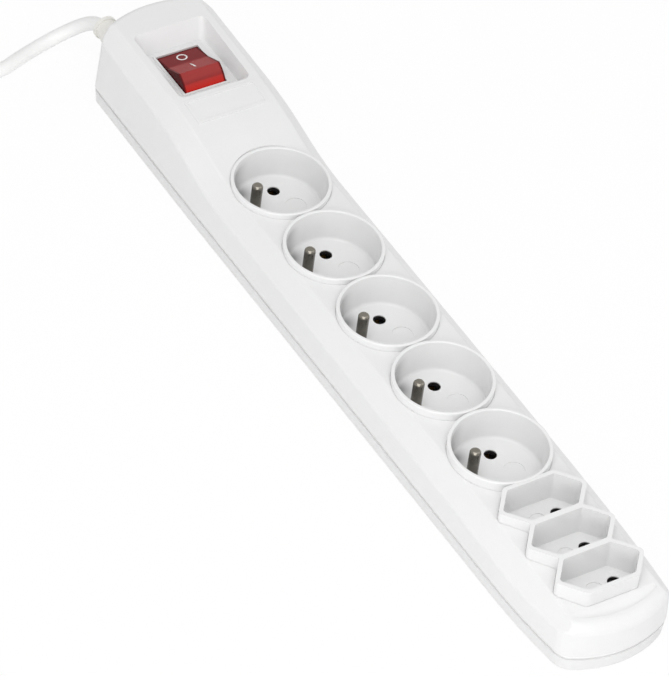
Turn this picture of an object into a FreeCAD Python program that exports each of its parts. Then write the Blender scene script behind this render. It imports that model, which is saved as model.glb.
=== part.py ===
"""Power strip with five round earthed sockets, three flat two-pin sockets and a lit rocker switch.

Units are millimetres. X runs along the strip from the cord end (-X) to the flat sockets (+X),
Y runs across it and Z points up. The origin is on the floor, under the middle of the body.
"""
import FreeCAD, Part
import math
import os

from FreeCAD import Vector as V

# ---- body: plan -------------------------------------------------------------------------------
body_length = 388.0          # over both end arcs, at the seam between tray and cover
body_half_width = 29.2       # of the cover at its lower edge
far_narrowing = 0.9          # the cord end is narrower by this on each side
near_narrowing = 3.2         # the flat-socket end is narrower by this on each side
far_shoulder_x = -100.0      # the sides are parallel between the two shoulders
near_shoulder_x = 140.0
far_end_radius = 54.0        # plan arcs that close the two ends
near_end_radius = 47.0
far_corner_radius = 4.5      # upright corners
near_corner_radius = 9.0
side_draft = 0.020           # how far the walls lean in per millimetre of height
end_draft = 0.060

# ---- body: heights ----------------------------------------------------------------------------
rim_z = 32.0                 # the common plane of all socket rims
tray_top_z = 6.0             # upper edge of the tray's outer wall
cover_bottom_z = 8.2         # lower edge of the cover, above the shadow gap
tray_underside_inset = 0.7   # the tray's foot is narrower than its upper edge
seam_step = 0.3              # the tray stands back from the cover by this
rise_head = 9.6              # heights of the top line over the rim plane
rise_head_foot = 6.2
drop_deck = 2.4
drop_middle = 3.5
drop_flat_sockets = 4.8
drop_near_end = 9.1
head_foot_x = -122.0         # where the raised head starts to fall
deck_start_x = -88.0         # where the fall ends and the socket deck starts
deck_middle_x = 60.0
deck_droop_x = 135.0
overrun = 6.0                # how far cutting shapes run past what they cut

# ---- body: edges and walls --------------------------------------------------------------------
deck_half_width = 21.4       # the level top between the two chamfers
chamfer_run = 7.0            # the long chamfers fall this far outwards
chamfer_fall = 7.3           # and this far downwards
near_edge_radius = 5.0       # rounding of the top edge at the flat-socket end
far_edge_radius = 2.5
long_edge_radius = 1.6
wall = 2.2
roof = 2.4
tray_floor = 2.2
lip_height = 3.0             # the tray's lip inside the cover
lip_inset = 1.2              # of the lip's outer face from the cover's outer face
lip_clearance = 0.1

# ---- round sockets ----------------------------------------------------------------------------
round_count = 5
round_pitch = 43.3
round_middle_x = 9.0
rim_radius = 20.0            # inside, at the rim
well_floor_radius = 19.2
cup_radius = 21.6            # outside
well_depth = 15.0
well_floor = 2.5             # thickness of the floor under each well
insert_gap = 0.1             # between an insert and the cover's opening
pin_diameter = 4.8
pin_offset = 10.0            # earth pin from the socket's centre
pin_angle = 250.8            # direction of the earth pin, degrees from +X
pin_below_rim = 1.8
contact_offset = 9.5         # contact holes from the socket's centre
contact_hole = 5.5
ejector_mark = 9.0
ejector_mark_depth = 0.3
ejector_mark_offset = 7.8
hole_clearance = 0.05

# ---- flat two-pin sockets ---------------------------------------------------------------------
flat_count = 3
flat_pitch = 20.85
flat_first_x = body_length / 2 - 66.6
flat_half_length = 19.05     # across the strip, centre to point
flat_half_width = 9.1
flat_side_half = 11.25       # half of the straight side
flat_corner_radius = 1.6
flat_taper = 0.4
flat_wall = 1.9
flat_depth = 13.5
flat_contact_offset = 9.2
flat_contact_hole = 6.0
flat_mark = 7.5

# ---- switch -----------------------------------------------------------------------------------
switch_x = -body_length / 2 + 40.0
switch_floor_z = 32.0        # floor of the recess that the switch sits in
recess_length = 32.0         # at its floor
recess_width = 30.6
recess_slope = 0.667         # run per rise of its end ramps
recess_side_slope = 0.30
recess_corner = 3.0
recess_wall = 2.0
pivot_z = 24.9
rocker_throw = 18.2          # tilt to each side of level, degrees
rocker_half_length = 9.6     # centre to ridge
rocker_ridge = 10.9          # ridge above the pivot
rocker_dish = 1.0            # depth of the shallow V between the ridges
rocker_width = 20.3
rocker_skirt = 2.9           # lower edge of the end faces above the pivot
rocker_wall = 1.3
bezel_clearance = 0.3
bezel_lip = 1.0
bezel_lip_height = 1.0
bezel_flange = 0.5
bezel_half_width = 13.2
housing_wall = 0.9
housing_side_wall = 1.4
housing_depth = 20.0
housing_floor = 1.6
axle_radius = 1.5
axle_clearance = 0.06
pole_offset = 5.0            # the two poles from the middle of the switch
arm_ratio = -0.4             # tilt of the contact arms per tilt of the rocker
tab_width = 6.3
tab_thickness = 0.8
tab_length = 7.0
tab_pitch = 9.0
load_tab_drop = 1.4          # load tabs stop this far under the knife edge
axle_reach = 1.0             # of the stub axles into the housing's side walls
cheek_half_length = 4.0
cheek_reach = 3.0            # below the axle
guide_radius = 2.2
guide_reach = 4.0
guide_bore_top = 5.0         # above the axle
plunger_radius = 1.4
plunger_top = 1.0
plunger_gap = 0.15           # over the contact arm at mid travel
spring_wire = 0.5
lamp_radius = 1.9
lamp_dx = 5.6                # glow lamp from the axle, towards the lit end
lamp_dz = 6.6
arm_drop = 9.6               # knife edge of the contact arms below the axle
arm_half_length = 10.0
arm_width = 4.4
arm_thickness = 0.8

# ---- label and finger rest --------------------------------------------------------------------
label_x = switch_x + 29.1
label_length = 13.2
label_width = 34.8
label_border = 1.1
label_height = 0.35
rest_back_x = body_length / 2 - 13.6   # finger rest: foot of the slope behind the last socket
rest_front_x = body_length / 2 - 6.6
rest_half_width = 19.5
rest_depth = 1.6
rest_front_radius = 43.0

# ---- current-carrying parts -------------------------------------------------------------------
bar_width = 4.4
bar_thickness = 0.8
bar_z = 5.0
bar_end_margin = 4.0
earth_bar_z = 11.6
clip_gap = 4.6               # between the two leaves, a little under the pin
clip_leaf = 0.5
clip_width = 4.0
clip_top_z = 13.6
pin_shoulder_radius = 3.6
pin_rivet_radius = 1.8
wire_diameter = 2.4

# ---- screws and bosses ------------------------------------------------------------------------
boss_radius = 3.3
pilot_radius = 1.25
screw_radius = 1.2
screw_head_radius = 2.9
screw_head = 1.6
screw_length = 14.0
screw_hole_radius = 1.6
screw_recess = 1.4
boss_bottom_z = 9.0
tray_boss_radius = 4.4
far_screw_x = -body_length / 2 + 22.0
near_screw_x = body_length / 2 - 9.5
screw_places = ((far_screw_x, 22.0), (-55.95, 22.6), (73.95, 22.6), (near_screw_x, 14.0))

# ---- mains lead -------------------------------------------------------------------------------
cord_diameter = 6.4
cord_y = -11.7
cord_z = 19.0
bush_reach = 15.6            # how far the bush stands out of the end wall
bush_inside = 6.0
bush_root_radius = 6.2
bush_tip_radius = 4.6
bush_flange_radius = 5.6
bush_flange = 1.8
clamp_x = -body_length / 2 + 13.0
clamp_width = 6.5            # clamp screws from the cord's axis
clamp_half_length = 3.0
clamp_post_radius = 2.4
clamp_gap = 0.3
clamp_thickness = 2.0
clamp_screw_radius = 1.1
clamp_screw_length = 9.0
clamp_head_radius = 2.2
clamp_head = 1.4
clamp_slot = 0.6             # width and depth of the screws' slots
clamp_inset = 0.5            # the saddle is shorter than its seat by this at each end
sheath_end_x = -body_length / 2 + 17.0
bush_bore_clearance = 0.1
bush_neck_inset = 1.2        # the neck is thinner than the root by this
core_circle = 1.45           # radius that the three cores lie on in the sheath
neutral_core_lead = 4.0      # the cores leave the sheath straight for this far
live_core_lead = 4.0
earth_core_lead = 1.6
# Routes of the wires: X from the middle of the switch, then Y and Z.
neutral_feed_route = ((-14.0, -15.0, 16.5), (2.0, -15.0, 8.5), (26.0, -15.5, 8.5))
live_feed_route = ((-13.0, -18.0, 19.6), (4.0, -18.2, 9.2), (32.0, -18.0, 8.5))
earth_route = ((-11.0, -20.6, 16.0), (32.0, -21.0, 12.0))
earth_turn = 48.0            # from the switch to where the earth wire meets its bar's line
load_turn = -19.5            # from the switch to the load wires' far turn
load_side = 15.0             # the load wires pass the switch at this distance from the middle
load_middle = 8.0
load_near = 36.0
load_rise = 0.8              # the wire's end on its tab over the bars

# ---- free cord, from the bush to the coil -----------------------------------------------------
cord_overlap = 11.0          # the free stretch starts this far inside the bush
floor_z = cord_diameter / 2
# Corners of the free stretch: X from the body's far end, then Y and Z.
cord_route = (
    (-17.5, -11.7, 19.0),
    (-29.6, -18.7, 15.0),
    (-36.6, -30.8, 8.5),
    (-36.6, -44.8, 3.8),
    (-27.4, -70.2, 3.2),
    (-39.9, -94.1, 3.2),
    (-69.1, -101.9, 3.2),
)
coil_radius = 35.0           # at the middle of the turns
coil_columns = 3             # turns side by side
coil_layers = 2
coil_edge_radius = 3.0
coil_stub = 24.0             # straight stretch before the outer turn
coil_exit = -20.0            # heading where the cord leaves, degrees to the right of +Y
tail_run = 16.2
tail_corners = 3
tail_turn = 28.0             # to the right at each corner, degrees
tie_width = 5.0
tie_thickness = 1.2
tie_angle = 20.0
tie_clearance = 0.3

# ---- plug -------------------------------------------------------------------------------------
plug_tilt = 16.05            # the plug lies on its rim and on the cord
plug_relief_length = 22.0
plug_relief_tip = 4.2
plug_relief_root = 6.5
plug_neck_radius = 11.0
plug_shoulder = 14.0         # length of the tapered part
plug_rim_radius = 18.7
plug_rim_length = 16.0
plug_prong_radius = 2.4
plug_prong_length = 19.0
plug_prong_offset = 9.5
plug_earth_hole = 2.5
plug_edge_radius = 1.5
plug_rim_step = 2.0          # the tapered part ends this far inside the rim
plug_socket = 11.0           # depth of the prongs' seats
plug_earth_depth = 15.0


def solid_of(shape):
    """Return the single solid of a boolean result."""
    clean = shape.removeSplitter()
    return clean.Solids[0] if len(clean.Solids) == 1 else clean


def box(x0, x1, y0, y1, z0, z1):
    """Box between two corners."""
    return Part.makeBox(x1 - x0, y1 - y0, z1 - z0, V(x0, y0, z0))


def drum(radius, x, y, z0, z1):
    """Upright cylinder."""
    return Part.makeCylinder(radius, z1 - z0, V(x, y, z0))


def prism(points, height, base_z=0.0):
    """Upright prism on a closed polygon of (x, y) points."""
    ring = [V(x, y, base_z) for x, y in points]
    return Part.Face(Part.makePolygon(ring + ring[:1])).extrude(V(0, 0, height))


def round_path(points):
    """Edges of a route whose corners are the largest tangent arcs that its runs allow."""
    edges = []
    radii = []
    start = points[0]
    for before, corner, after in zip(points, points[1:], points[2:]):
        run_in = corner - before
        run_out = after - corner
        turn = run_in.getAngle(run_out)
        trim = 0.45 * min(run_in.Length, run_out.Length)
        radius = trim / math.tan(turn / 2)
        leave = corner - run_in.normalize() * trim
        join = corner + run_out.normalize() * trim
        inward = (leave + join) * 0.5 - corner
        inward.normalize()
        reach = radius / math.cos(turn / 2) - radius
        edges.append(Part.LineSegment(start, leave).toShape())
        edges.append(Part.Arc(leave, corner + inward * reach, join).toShape())
        radii.append(radius)
        start = join
    edges.append(Part.LineSegment(start, points[-1]).toShape())
    return edges, radii


def tube(points, diameter):
    """Round bar that follows a route, with its length and arc radii."""
    edges, radii = round_path(points)
    route = Part.Wire(edges)
    circle = Part.makeCircle(diameter / 2, points[0], points[1] - points[0])
    bar = route.makePipe(Part.Face(Part.Wire([circle])))
    return bar, route.Length, radii


def save(name, shape):
    """Write one node and say how large it is."""
    shape.exportStep("parts/%s.step" % name)
    size = shape.BoundBox
    print("%-22s solids %d valid %s volume %.0f  z %.2f..%.2f"
          % (name, len(shape.Solids), shape.isValid(), shape.Volume, size.ZMin, size.ZMax))


# ---- outer form of the body -------------------------------------------------------------------
def outline(z, inset, half_width, end_inset):
    """Closed plan outline of the body at one height."""
    w = half_width - inset
    far_w = w - far_narrowing
    near_w = w - near_narrowing
    far_x = -body_length / 2 + inset + end_inset
    near_x = body_length / 2 - inset - end_inset
    far_r = far_end_radius - inset
    near_r = near_end_radius - inset
    far_c = far_x + far_r - math.sqrt(far_r ** 2 - far_w ** 2)
    near_c = near_x - near_r + math.sqrt(near_r ** 2 - near_w ** 2)
    near_mid = (near_shoulder_x + near_c) / 2
    mid_w = w - near_narrowing / 4
    left = [
        Part.LineSegment(V(far_c, -far_w, z), V(far_shoulder_x, -w, z)),
        Part.LineSegment(V(far_shoulder_x, -w, z), V(near_shoulder_x, -w, z)),
        Part.Arc(V(near_shoulder_x, -w, z), V(near_mid, -mid_w, z), V(near_c, -near_w, z)),
        Part.Arc(V(near_c, -near_w, z), V(near_x, 0, z), V(near_c, near_w, z)),
        Part.Arc(V(near_c, near_w, z), V(near_mid, mid_w, z), V(near_shoulder_x, w, z)),
        Part.LineSegment(V(near_shoulder_x, w, z), V(far_shoulder_x, w, z)),
        Part.LineSegment(V(far_shoulder_x, w, z), V(far_c, far_w, z)),
        Part.Arc(V(far_c, far_w, z), V(far_x, 0, z), V(far_c, -far_w, z)),
    ]
    return Part.Wire([edge.toShape() for edge in left])


def round_corners(form, inset):
    """Round the four upright corners of a lofted body form."""
    upright = [e for e in form.Edges if e.BoundBox.ZLength > 1.0]
    far = [e for e in upright if e.BoundBox.Center.x < far_shoulder_x - overrun]
    near = [e for e in upright if e.BoundBox.Center.x > near_shoulder_x + overrun]
    form = form.makeFillet(near_corner_radius - inset, near)
    far_again = [e for e in form.Edges if any(e.isSame(f) for f in far)]
    if not far_again:
        far_again = [e for e in form.Edges if e.BoundBox.ZLength > 1.0
                     and e.BoundBox.Center.x < far_shoulder_x - overrun]
    return form.makeFillet(far_corner_radius - inset, far_again)


def walls(inset, z0, z1, half_width=body_half_width, draft_from=cover_bottom_z):
    """Body form between two heights, its walls leaning in upwards."""
    low = (z0 - draft_from)
    high = (z1 - draft_from)
    lower = outline(z0, inset, half_width - side_draft * low, end_draft * low)
    upper = outline(z1, inset, half_width - side_draft * high, end_draft * high)
    form = Part.makeLoft([lower, upper], True, True)
    return round_corners(form, inset)


def top_line(y, lowered):
    """Lengthwise line of the top, at one distance from the middle."""
    places = (
        (-body_length / 2 - overrun, rise_head),
        (head_foot_x, rise_head_foot),
        (deck_start_x, -drop_deck),
        (deck_middle_x, -drop_middle),
        (deck_droop_x, -drop_flat_sockets),
        (body_length / 2 + overrun, -drop_near_end),
    )
    return [V(x, y, rim_z + rise - lowered) for x, rise in places]


sky_z = rim_z + rise_head + 4 * overrun


def above_line(y, lowered):
    """Upright face of all that lies above the top line."""
    line = top_line(y, lowered)
    edges, radii = round_path(line)
    last = line[-1]
    first = line[0]
    corners = [last, V(last.x, y, sky_z), V(first.x, y, sky_z), first]
    for a, b in zip(corners, corners[1:]):
        edges.append(Part.LineSegment(a, b).toShape())
    return Part.Face(Part.Wire(edges))


def above_top(lowered):
    """Everything above the level top."""
    width = 2 * (body_half_width + overrun)
    return above_line(-width / 2, lowered).extrude(V(0, width, 0))


def above_chamfer(side, lowered):
    """Everything above one long chamfer."""
    reach = (body_half_width + overrun) / chamfer_run
    start = deck_half_width - lowered * 0.4
    face = above_line(side * start, lowered)
    return face.extrude(V(0, side * chamfer_run * reach, -chamfer_fall * reach))


def round_top_edge(form, radius, x0, x1):
    """One stretch of the form, with its top edge rounded all the way round."""
    def is_end_edge(edge):
        size = edge.BoundBox
        at_end = size.Center.x > body_length / 2 - 4 * overrun
        return at_end and size.ZMin > rim_z - 2 * overrun and size.YLength > deck_half_width
    found = [edge for edge in form.Edges if is_end_edge(edge)]
    reach = body_half_width + overrun
    return form.makeFillet(radius, found).common(box(x0, x1, -reach, reach, 0, sky_z))


def body_form(inset, lowered, bottom_z, rounded):
    """Cover form: leaning walls, curved top and two long chamfers."""
    form = walls(inset, bottom_z, sky_z - overrun)
    form = solid_of(form.cut(above_top(lowered)))
    if rounded:
        end_x = body_length / 2 + overrun
        near = round_top_edge(form, near_edge_radius, 0, end_x)
        far = round_top_edge(form, far_edge_radius, -end_x, 0)
        form = solid_of(near.fuse(far))
    for side in (-1, 1):
        form = form.cut(above_chamfer(side, lowered))
    return solid_of(form)


def surface_z(x):
    """Height of the level top at one place, on the straight runs between its corners."""
    line = top_line(0, 0)
    for a, b in zip(line, line[1:]):
        if a.x <= x <= b.x:
            return a.z + (b.z - a.z) * (x - a.x) / (b.x - a.x)
    return line[-1].z


# ---- places that several pieces share ---------------------------------------------------------
turn = math.radians(pin_angle)
pin_dx = pin_offset * math.cos(turn)
pin_dy = pin_offset * math.sin(turn)
contact_dx = contact_offset * math.sin(turn)
contact_dy = -contact_offset * math.cos(turn)
round_xs = [round_middle_x + (i - (round_count - 1) / 2) * round_pitch for i in range(round_count)]
flat_xs = [flat_first_x + i * flat_pitch for i in range(flat_count)]
well_floor_z = rim_z - well_depth
flat_floor_z = rim_z - flat_depth
bar_top_z = bar_z + bar_thickness
earth_bar_top_z = earth_bar_z + bar_thickness
far_wall_x = -body_length / 2 + end_draft * (cord_z - cover_bottom_z) + (
    far_end_radius - math.sqrt(far_end_radius ** 2 - cord_y ** 2))
bush_tip_x = far_wall_x - bush_reach
housing_half_length = math.hypot(rocker_half_length, rocker_ridge) + 0.1 + housing_wall
housing_half_width = rocker_width / 2 + bezel_clearance + housing_side_wall
housing_bottom_z = switch_floor_z - housing_depth
rest_tilt = math.radians(rocker_throw)
arm_z = pivot_z - arm_drop
plunger_z = arm_z + hole_clearance + arm_thickness + plunger_gap + plunger_radius
screw_end_z = screw_recess + screw_length


def rounded_box(length, width, radius, z):
    """Closed outline of a box with round corners, about the switch."""
    plate = Part.makeBox(length, width, 1, V(switch_x - length / 2, -width / 2, z))
    upright = [e for e in plate.Edges if e.BoundBox.ZLength > 0.5]
    plate = plate.makeFillet(radius, upright)
    return min(plate.Faces, key=lambda face: face.CenterOfMass.z).OuterWire


def recess_form(extra, z0, z1):
    """Flared recess round the switch, or the tub that is its outside."""
    rings = []
    for z in (z0, z1):
        rise = z - switch_floor_z
        length = recess_length + 2 * (extra + recess_slope * rise)
        width = recess_width + 2 * (extra + recess_side_slope * rise)
        rings.append(rounded_box(length, width, recess_corner + extra, z))
    return Part.makeLoft(rings, True, True)


def hexagon(centre_x, grow, z, narrower=0.0):
    """Outline of a flat socket: long hexagon with its points across the strip."""
    half_w = flat_half_width + grow - narrower
    half_l = flat_half_length + grow * 1.2 - narrower
    side = flat_side_half + grow * 0.45
    points = [(half_w, side), (0, half_l), (-half_w, side), (-half_w, -side), (0, -half_l),
              (half_w, -side)]
    plate = prism([(centre_x + x, y) for x, y in points], 1.0, z)
    upright = [e for e in plate.Edges if e.BoundBox.ZLength > 0.5]
    plate = plate.makeFillet(flat_corner_radius + grow * 0.5, upright)
    return min(plate.Faces, key=lambda face: face.CenterOfMass.z).OuterWire


def hexagon_block(centre_x, grow, z0, z1, narrower=0.0):
    """Upright hexagonal solid that may be narrower at its lower end."""
    rings = [hexagon(centre_x, grow, z0, narrower), hexagon(centre_x, grow, z1)]
    return Part.makeLoft(rings, True, True)


def screw_points():
    """Places of the case screws, in pairs."""
    return [(x, side * y) for x, y in screw_places for side in (-1, 1)]


# ---- cover and tray ---------------------------------------------------------------------------
def label_frame(outer_form):
    """Raised border of the bare label field, following the top."""
    half_l = label_length / 2
    half_w = label_width / 2
    frame = box(label_x - half_l, label_x + half_l, -half_w, half_w, rim_z, sky_z)
    hollow = box(label_x - half_l + label_border, label_x + half_l - label_border,
                 -half_w + label_border, half_w - label_border, rim_z, sky_z)
    raised = outer_form.copy()
    raised.translate(V(0, 0, label_height))
    return frame.cut(hollow).common(raised)


def finger_rest():
    """Cutter of the shallow finger rest near the flat-socket end."""
    z_back = surface_z(rest_back_x)
    z_front = surface_z(rest_front_x) - rest_depth
    wedge = Part.Face(Part.makePolygon([
        V(rest_back_x, -rest_half_width, z_back),
        V(rest_front_x + overrun, -rest_half_width,
          z_front + (z_front - z_back) / (rest_front_x - rest_back_x) * overrun),
        V(rest_front_x + overrun, -rest_half_width, sky_z),
        V(rest_back_x, -rest_half_width, sky_z),
        V(rest_back_x, -rest_half_width, z_back),
    ])).extrude(V(0, 2 * rest_half_width, 0))
    return wedge.common(drum(rest_front_radius, rest_front_x - rest_front_radius, 0, 0, sky_z))


def make_top_cover():
    """Upper shell with the socket opening, the switch recess and the screw bosses."""
    outer = body_form(0.0, 0.0, cover_bottom_z, True)
    long_edges = [e for e in outer.Edges if e.BoundBox.XLength > 2 and e.BoundBox.YLength < 1.5
                  and abs(abs(e.BoundBox.Center.y) - deck_half_width) < 0.6]
    side_edges = [e for e in outer.Edges if abs(e.BoundBox.Center.y) > deck_half_width + 4
                  and e.BoundBox.ZMin > cover_bottom_z + 4 and e.BoundBox.XLength > 8]
    outer = outer.makeFillet(long_edge_radius, long_edges + side_edges)
    inner = body_form(wall, roof, cover_bottom_z - overrun, False)
    shell = outer.cut(inner)
    rebate = walls(lip_inset - lip_clearance, cover_bottom_z - overrun,
                   cover_bottom_z + lip_height + lip_clearance)
    shell = shell.cut(rebate)
    tub = recess_form(recess_wall, switch_floor_z - recess_wall, sky_z - overrun).common(outer)
    shell = shell.fuse(tub)
    for x, y in screw_points():
        boss = drum(boss_radius, x, y, boss_bottom_z, sky_z).common(outer)
        shell = shell.fuse(boss)
    shell = shell.fuse(label_frame(outer))
    shell = shell.cut(recess_form(0, switch_floor_z, sky_z - overrun))
    for x in round_xs:
        shell = shell.cut(drum(cup_radius + insert_gap, x, 0, cover_bottom_z, sky_z))
    for x in flat_xs:
        shell = shell.cut(hexagon_block(x, flat_wall + insert_gap, cover_bottom_z, sky_z))
    for x, y in screw_points():
        shell = shell.cut(drum(pilot_radius, x, y, boss_bottom_z - 1, screw_end_z + 1))
    half_l = housing_half_length + insert_gap
    half_w = housing_half_width + insert_gap
    shell = shell.cut(box(switch_x - half_l, switch_x + half_l, -half_w, half_w,
                          cover_bottom_z, switch_floor_z + 1))
    shell = shell.cut(finger_rest())
    shell = shell.cut(bush_hole())
    return solid_of(shell)


def bush_hole():
    """Cylinder through the end wall that the bush's neck sits in."""
    return along_cord(bush_root_radius - bush_neck_inset + insert_gap, far_wall_x + 2 * overrun,
                      far_wall_x - overrun)


def make_base_cover():
    """Lower tray with the lip, ribs under the bars, cup seats and screw recesses."""
    half_width = body_half_width - seam_step
    foot = half_width - tray_underside_inset
    lower = outline(0, 0, foot, seam_step + 0.4)
    upper = outline(tray_top_z, 0, half_width, seam_step)
    outer = round_corners(Part.makeLoft([lower, upper], True, True), 0)
    lip = walls(lip_inset, tray_top_z - 1, cover_bottom_z + lip_height)
    tray = outer.fuse(lip)
    hollow = walls(wall, tray_floor, cover_bottom_z + lip_height + 1)
    tray = tray.cut(hollow)
    parts = []
    for x in round_xs:
        for side in (-1, 1):
            post_y = side * (cup_radius - 3.0)
            parts.append(box(x - 3, x + 3, post_y - 2, post_y + 2, tray_floor,
                             well_floor_z - well_floor))
    for x in flat_xs[::2]:
        for side in (-1, 1):
            post_y = side * (flat_half_length - 2.0)
            parts.append(box(x - 3, x + 3, post_y - 2, post_y + 2, tray_floor,
                             flat_floor_z - well_floor))
    for x in [x + round_pitch / 2 for x in round_xs[:-1]]:
        parts.append(box(x - 1, x + 1, -6.4, 6.4, tray_floor, bar_z))
    for x in flat_xs[1:]:
        parts.append(box(x - flat_pitch / 2 - 1, x - flat_pitch / 2 + 1, -12.4, 12.4,
                         tray_floor, bar_z))
    for x in [x + round_pitch / 2 + pin_dx for x in round_xs[:-1]]:
        parts.append(box(x - 1.5, x + 1.5, pin_dy - 1.9, pin_dy + 1.9, tray_floor, earth_bar_z))
    for x, y in screw_points():
        parts.append(drum(tray_boss_radius, x, y, tray_floor, boss_bottom_z))
    for side in (-1, 1):
        parts.append(drum(clamp_post_radius, clamp_x, cord_y + side * clamp_width, tray_floor,
                          cord_z))
    parts.append(box(clamp_x - clamp_half_length, clamp_x + clamp_half_length,
                     cord_y - clamp_width, cord_y + clamp_width, tray_floor,
                     cord_z - cord_diameter / 2 - clamp_gap))
    for part in parts:
        tray = tray.fuse(part)
    for x, y in screw_points():
        tray = tray.cut(drum(screw_hole_radius, x, y, -1, boss_bottom_z + 1))
        tray = tray.cut(drum(screw_head_radius + 0.3, x, y, -1, screw_recess + screw_head))
    for side in (-1, 1):
        tray = tray.cut(drum(clamp_screw_radius + hole_clearance, clamp_x,
                             cord_y + side * clamp_width, cord_z - clamp_screw_length,
                             cord_z + 1))
    return solid_of(tray)


def make_case_screws():
    """Pan-head screws that hold the tray to the cover."""
    screws = []
    for x, y in screw_points():
        head = drum(screw_head_radius, x, y, screw_recess, screw_recess + screw_head)
        cross = box(x - 1.8, x + 1.8, y - 0.35, y + 0.35, screw_recess - 1, screw_recess + 0.9)
        cross = cross.fuse(box(x - 0.35, x + 0.35, y - 1.8, y + 1.8, screw_recess - 1,
                               screw_recess + 0.9))
        shank = drum(screw_radius, x, y, screw_recess + screw_head, screw_recess + screw_length)
        screws.append(solid_of(head.cut(cross).fuse(shank)))
    return Part.makeCompound(screws)


# ---- socket inserts ---------------------------------------------------------------------------
def make_round_cup(x):
    """Round well with its floor, holes and rounded rim."""
    top = rim_z
    bottom = well_floor_z - well_floor
    rim_round = 0.5
    profile = [
        Part.LineSegment(V(0, 0, bottom), V(cup_radius, 0, bottom)),
        Part.LineSegment(V(cup_radius, 0, bottom), V(cup_radius, 0, top - rim_round)),
        Part.Arc(V(cup_radius, 0, top - rim_round),
                 V(cup_radius - rim_round * 0.293, 0, top - rim_round * 0.293),
                 V(cup_radius - rim_round, 0, top)),
        Part.LineSegment(V(cup_radius - rim_round, 0, top), V(rim_radius + rim_round, 0, top)),
        Part.Arc(V(rim_radius + rim_round, 0, top),
                 V(rim_radius + rim_round * 0.293, 0, top - rim_round * 0.293),
                 V(rim_radius, 0, top - rim_round)),
        Part.LineSegment(V(rim_radius, 0, top - rim_round), V(well_floor_radius, 0, well_floor_z)),
        Part.LineSegment(V(well_floor_radius, 0, well_floor_z), V(0, 0, well_floor_z)),
        Part.LineSegment(V(0, 0, well_floor_z), V(0, 0, bottom)),
    ]
    face = Part.Face(Part.Wire([edge.toShape() for edge in profile]))
    cup = face.revolve(V(0, 0, 0), V(0, 0, 1), 360)
    foot = [e for e in cup.Edges if abs(e.BoundBox.ZMax - well_floor_z) < 0.01
            and e.BoundBox.XLength > well_floor_radius]
    cup = cup.makeFillet(1.5, foot)
    cup.translate(V(x, 0, 0))
    cup = cup.cut(drum(pin_diameter / 2 + hole_clearance, x + pin_dx, pin_dy, bottom - 1,
                       well_floor_z + 1))
    for side in (-1, 1):
        cup = cup.cut(drum(contact_hole / 2, x + side * contact_dx, side * contact_dy,
                           bottom - 1, well_floor_z + 1))
    mark_x = x - pin_dx * ejector_mark_offset / pin_offset
    mark_y = -pin_dy * ejector_mark_offset / pin_offset
    cup = cup.cut(drum(ejector_mark / 2, mark_x, mark_y, well_floor_z - ejector_mark_depth,
                       well_floor_z + 1))
    return solid_of(cup)


def make_flat_block():
    """One moulding with the three hexagonal wells."""
    bottom = flat_floor_z - well_floor
    block = None
    for x in flat_xs:
        piece = hexagon_block(x, flat_wall, bottom, rim_z)
        block = piece if block is None else block.fuse(piece)
    block = block.cut(drum(cup_radius + insert_gap, round_xs[-1], 0, bottom - 1, rim_z + 1))
    for x in flat_xs:
        block = block.cut(hexagon_block(x, 0, flat_floor_z, rim_z, flat_taper))
        block = block.cut(drum(flat_mark / 2, x, 0, flat_floor_z - ejector_mark_depth, rim_z))
        for side in (-1, 1):
            block = block.cut(drum(flat_contact_hole / 2, x, side * flat_contact_offset,
                                   bottom - 1, rim_z))
    return solid_of(block)


# ---- current-carrying parts -------------------------------------------------------------------
def make_earth_pin(x):
    """Earth pin with a domed tip, a shoulder under the well and a riveted end."""
    radius = pin_diameter / 2
    tip = rim_z - pin_below_rim
    px = x + pin_dx
    shoulder_top = well_floor_z - well_floor
    pin = drum(radius, px, pin_dy, shoulder_top - 0.1, tip)
    crown = [e for e in pin.Edges if abs(e.BoundBox.ZMin - tip) < 0.01]
    pin = pin.makeFillet(radius * 0.6, crown)
    pin = pin.fuse(drum(pin_shoulder_radius, px, pin_dy, earth_bar_top_z, shoulder_top - 0.05))
    pin = pin.fuse(drum(pin_rivet_radius, px, pin_dy, earth_bar_z - 1.2, earth_bar_top_z))
    return solid_of(pin)


def make_earth_bar():
    """Straight brass strip that joins the five earth pins."""
    x0 = round_xs[0] + pin_dx - 3 * bar_end_margin
    x1 = round_xs[-1] + pin_dx + bar_end_margin
    half = bar_width / 2
    bar = box(x0, x1, pin_dy - half, pin_dy + half, earth_bar_z, earth_bar_top_z)
    for x in round_xs:
        bar = bar.cut(drum(pin_rivet_radius + hole_clearance, x + pin_dx, pin_dy,
                           earth_bar_z - 1, earth_bar_top_z + 1))
    return solid_of(bar)


def make_pole_bar(side):
    """Brass strip of one pole, stepping out to the flat sockets' contacts."""
    half = bar_width / 2
    inner_y = side * abs(contact_dy)
    outer_y = side * flat_contact_offset
    first = min(x - side * abs(contact_dx) for x in round_xs)
    x0 = first - 2 * bar_end_margin
    x1 = flat_xs[-1] + bar_end_margin
    step0 = round_xs[-1] - side * abs(contact_dx) + 1.4 * bar_end_margin
    step1 = step0 + abs(outer_y - inner_y)
    points = [(x0, inner_y - half), (step0 + side * half * 0.4, inner_y - half),
              (step1 + side * half * 0.4, outer_y - half), (x1, outer_y - half),
              (x1, outer_y + half), (step1 - side * half * 0.4, outer_y + half),
              (step0 - side * half * 0.4, inner_y + half), (x0, inner_y + half)]
    return prism(points, bar_thickness, bar_z)


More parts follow.
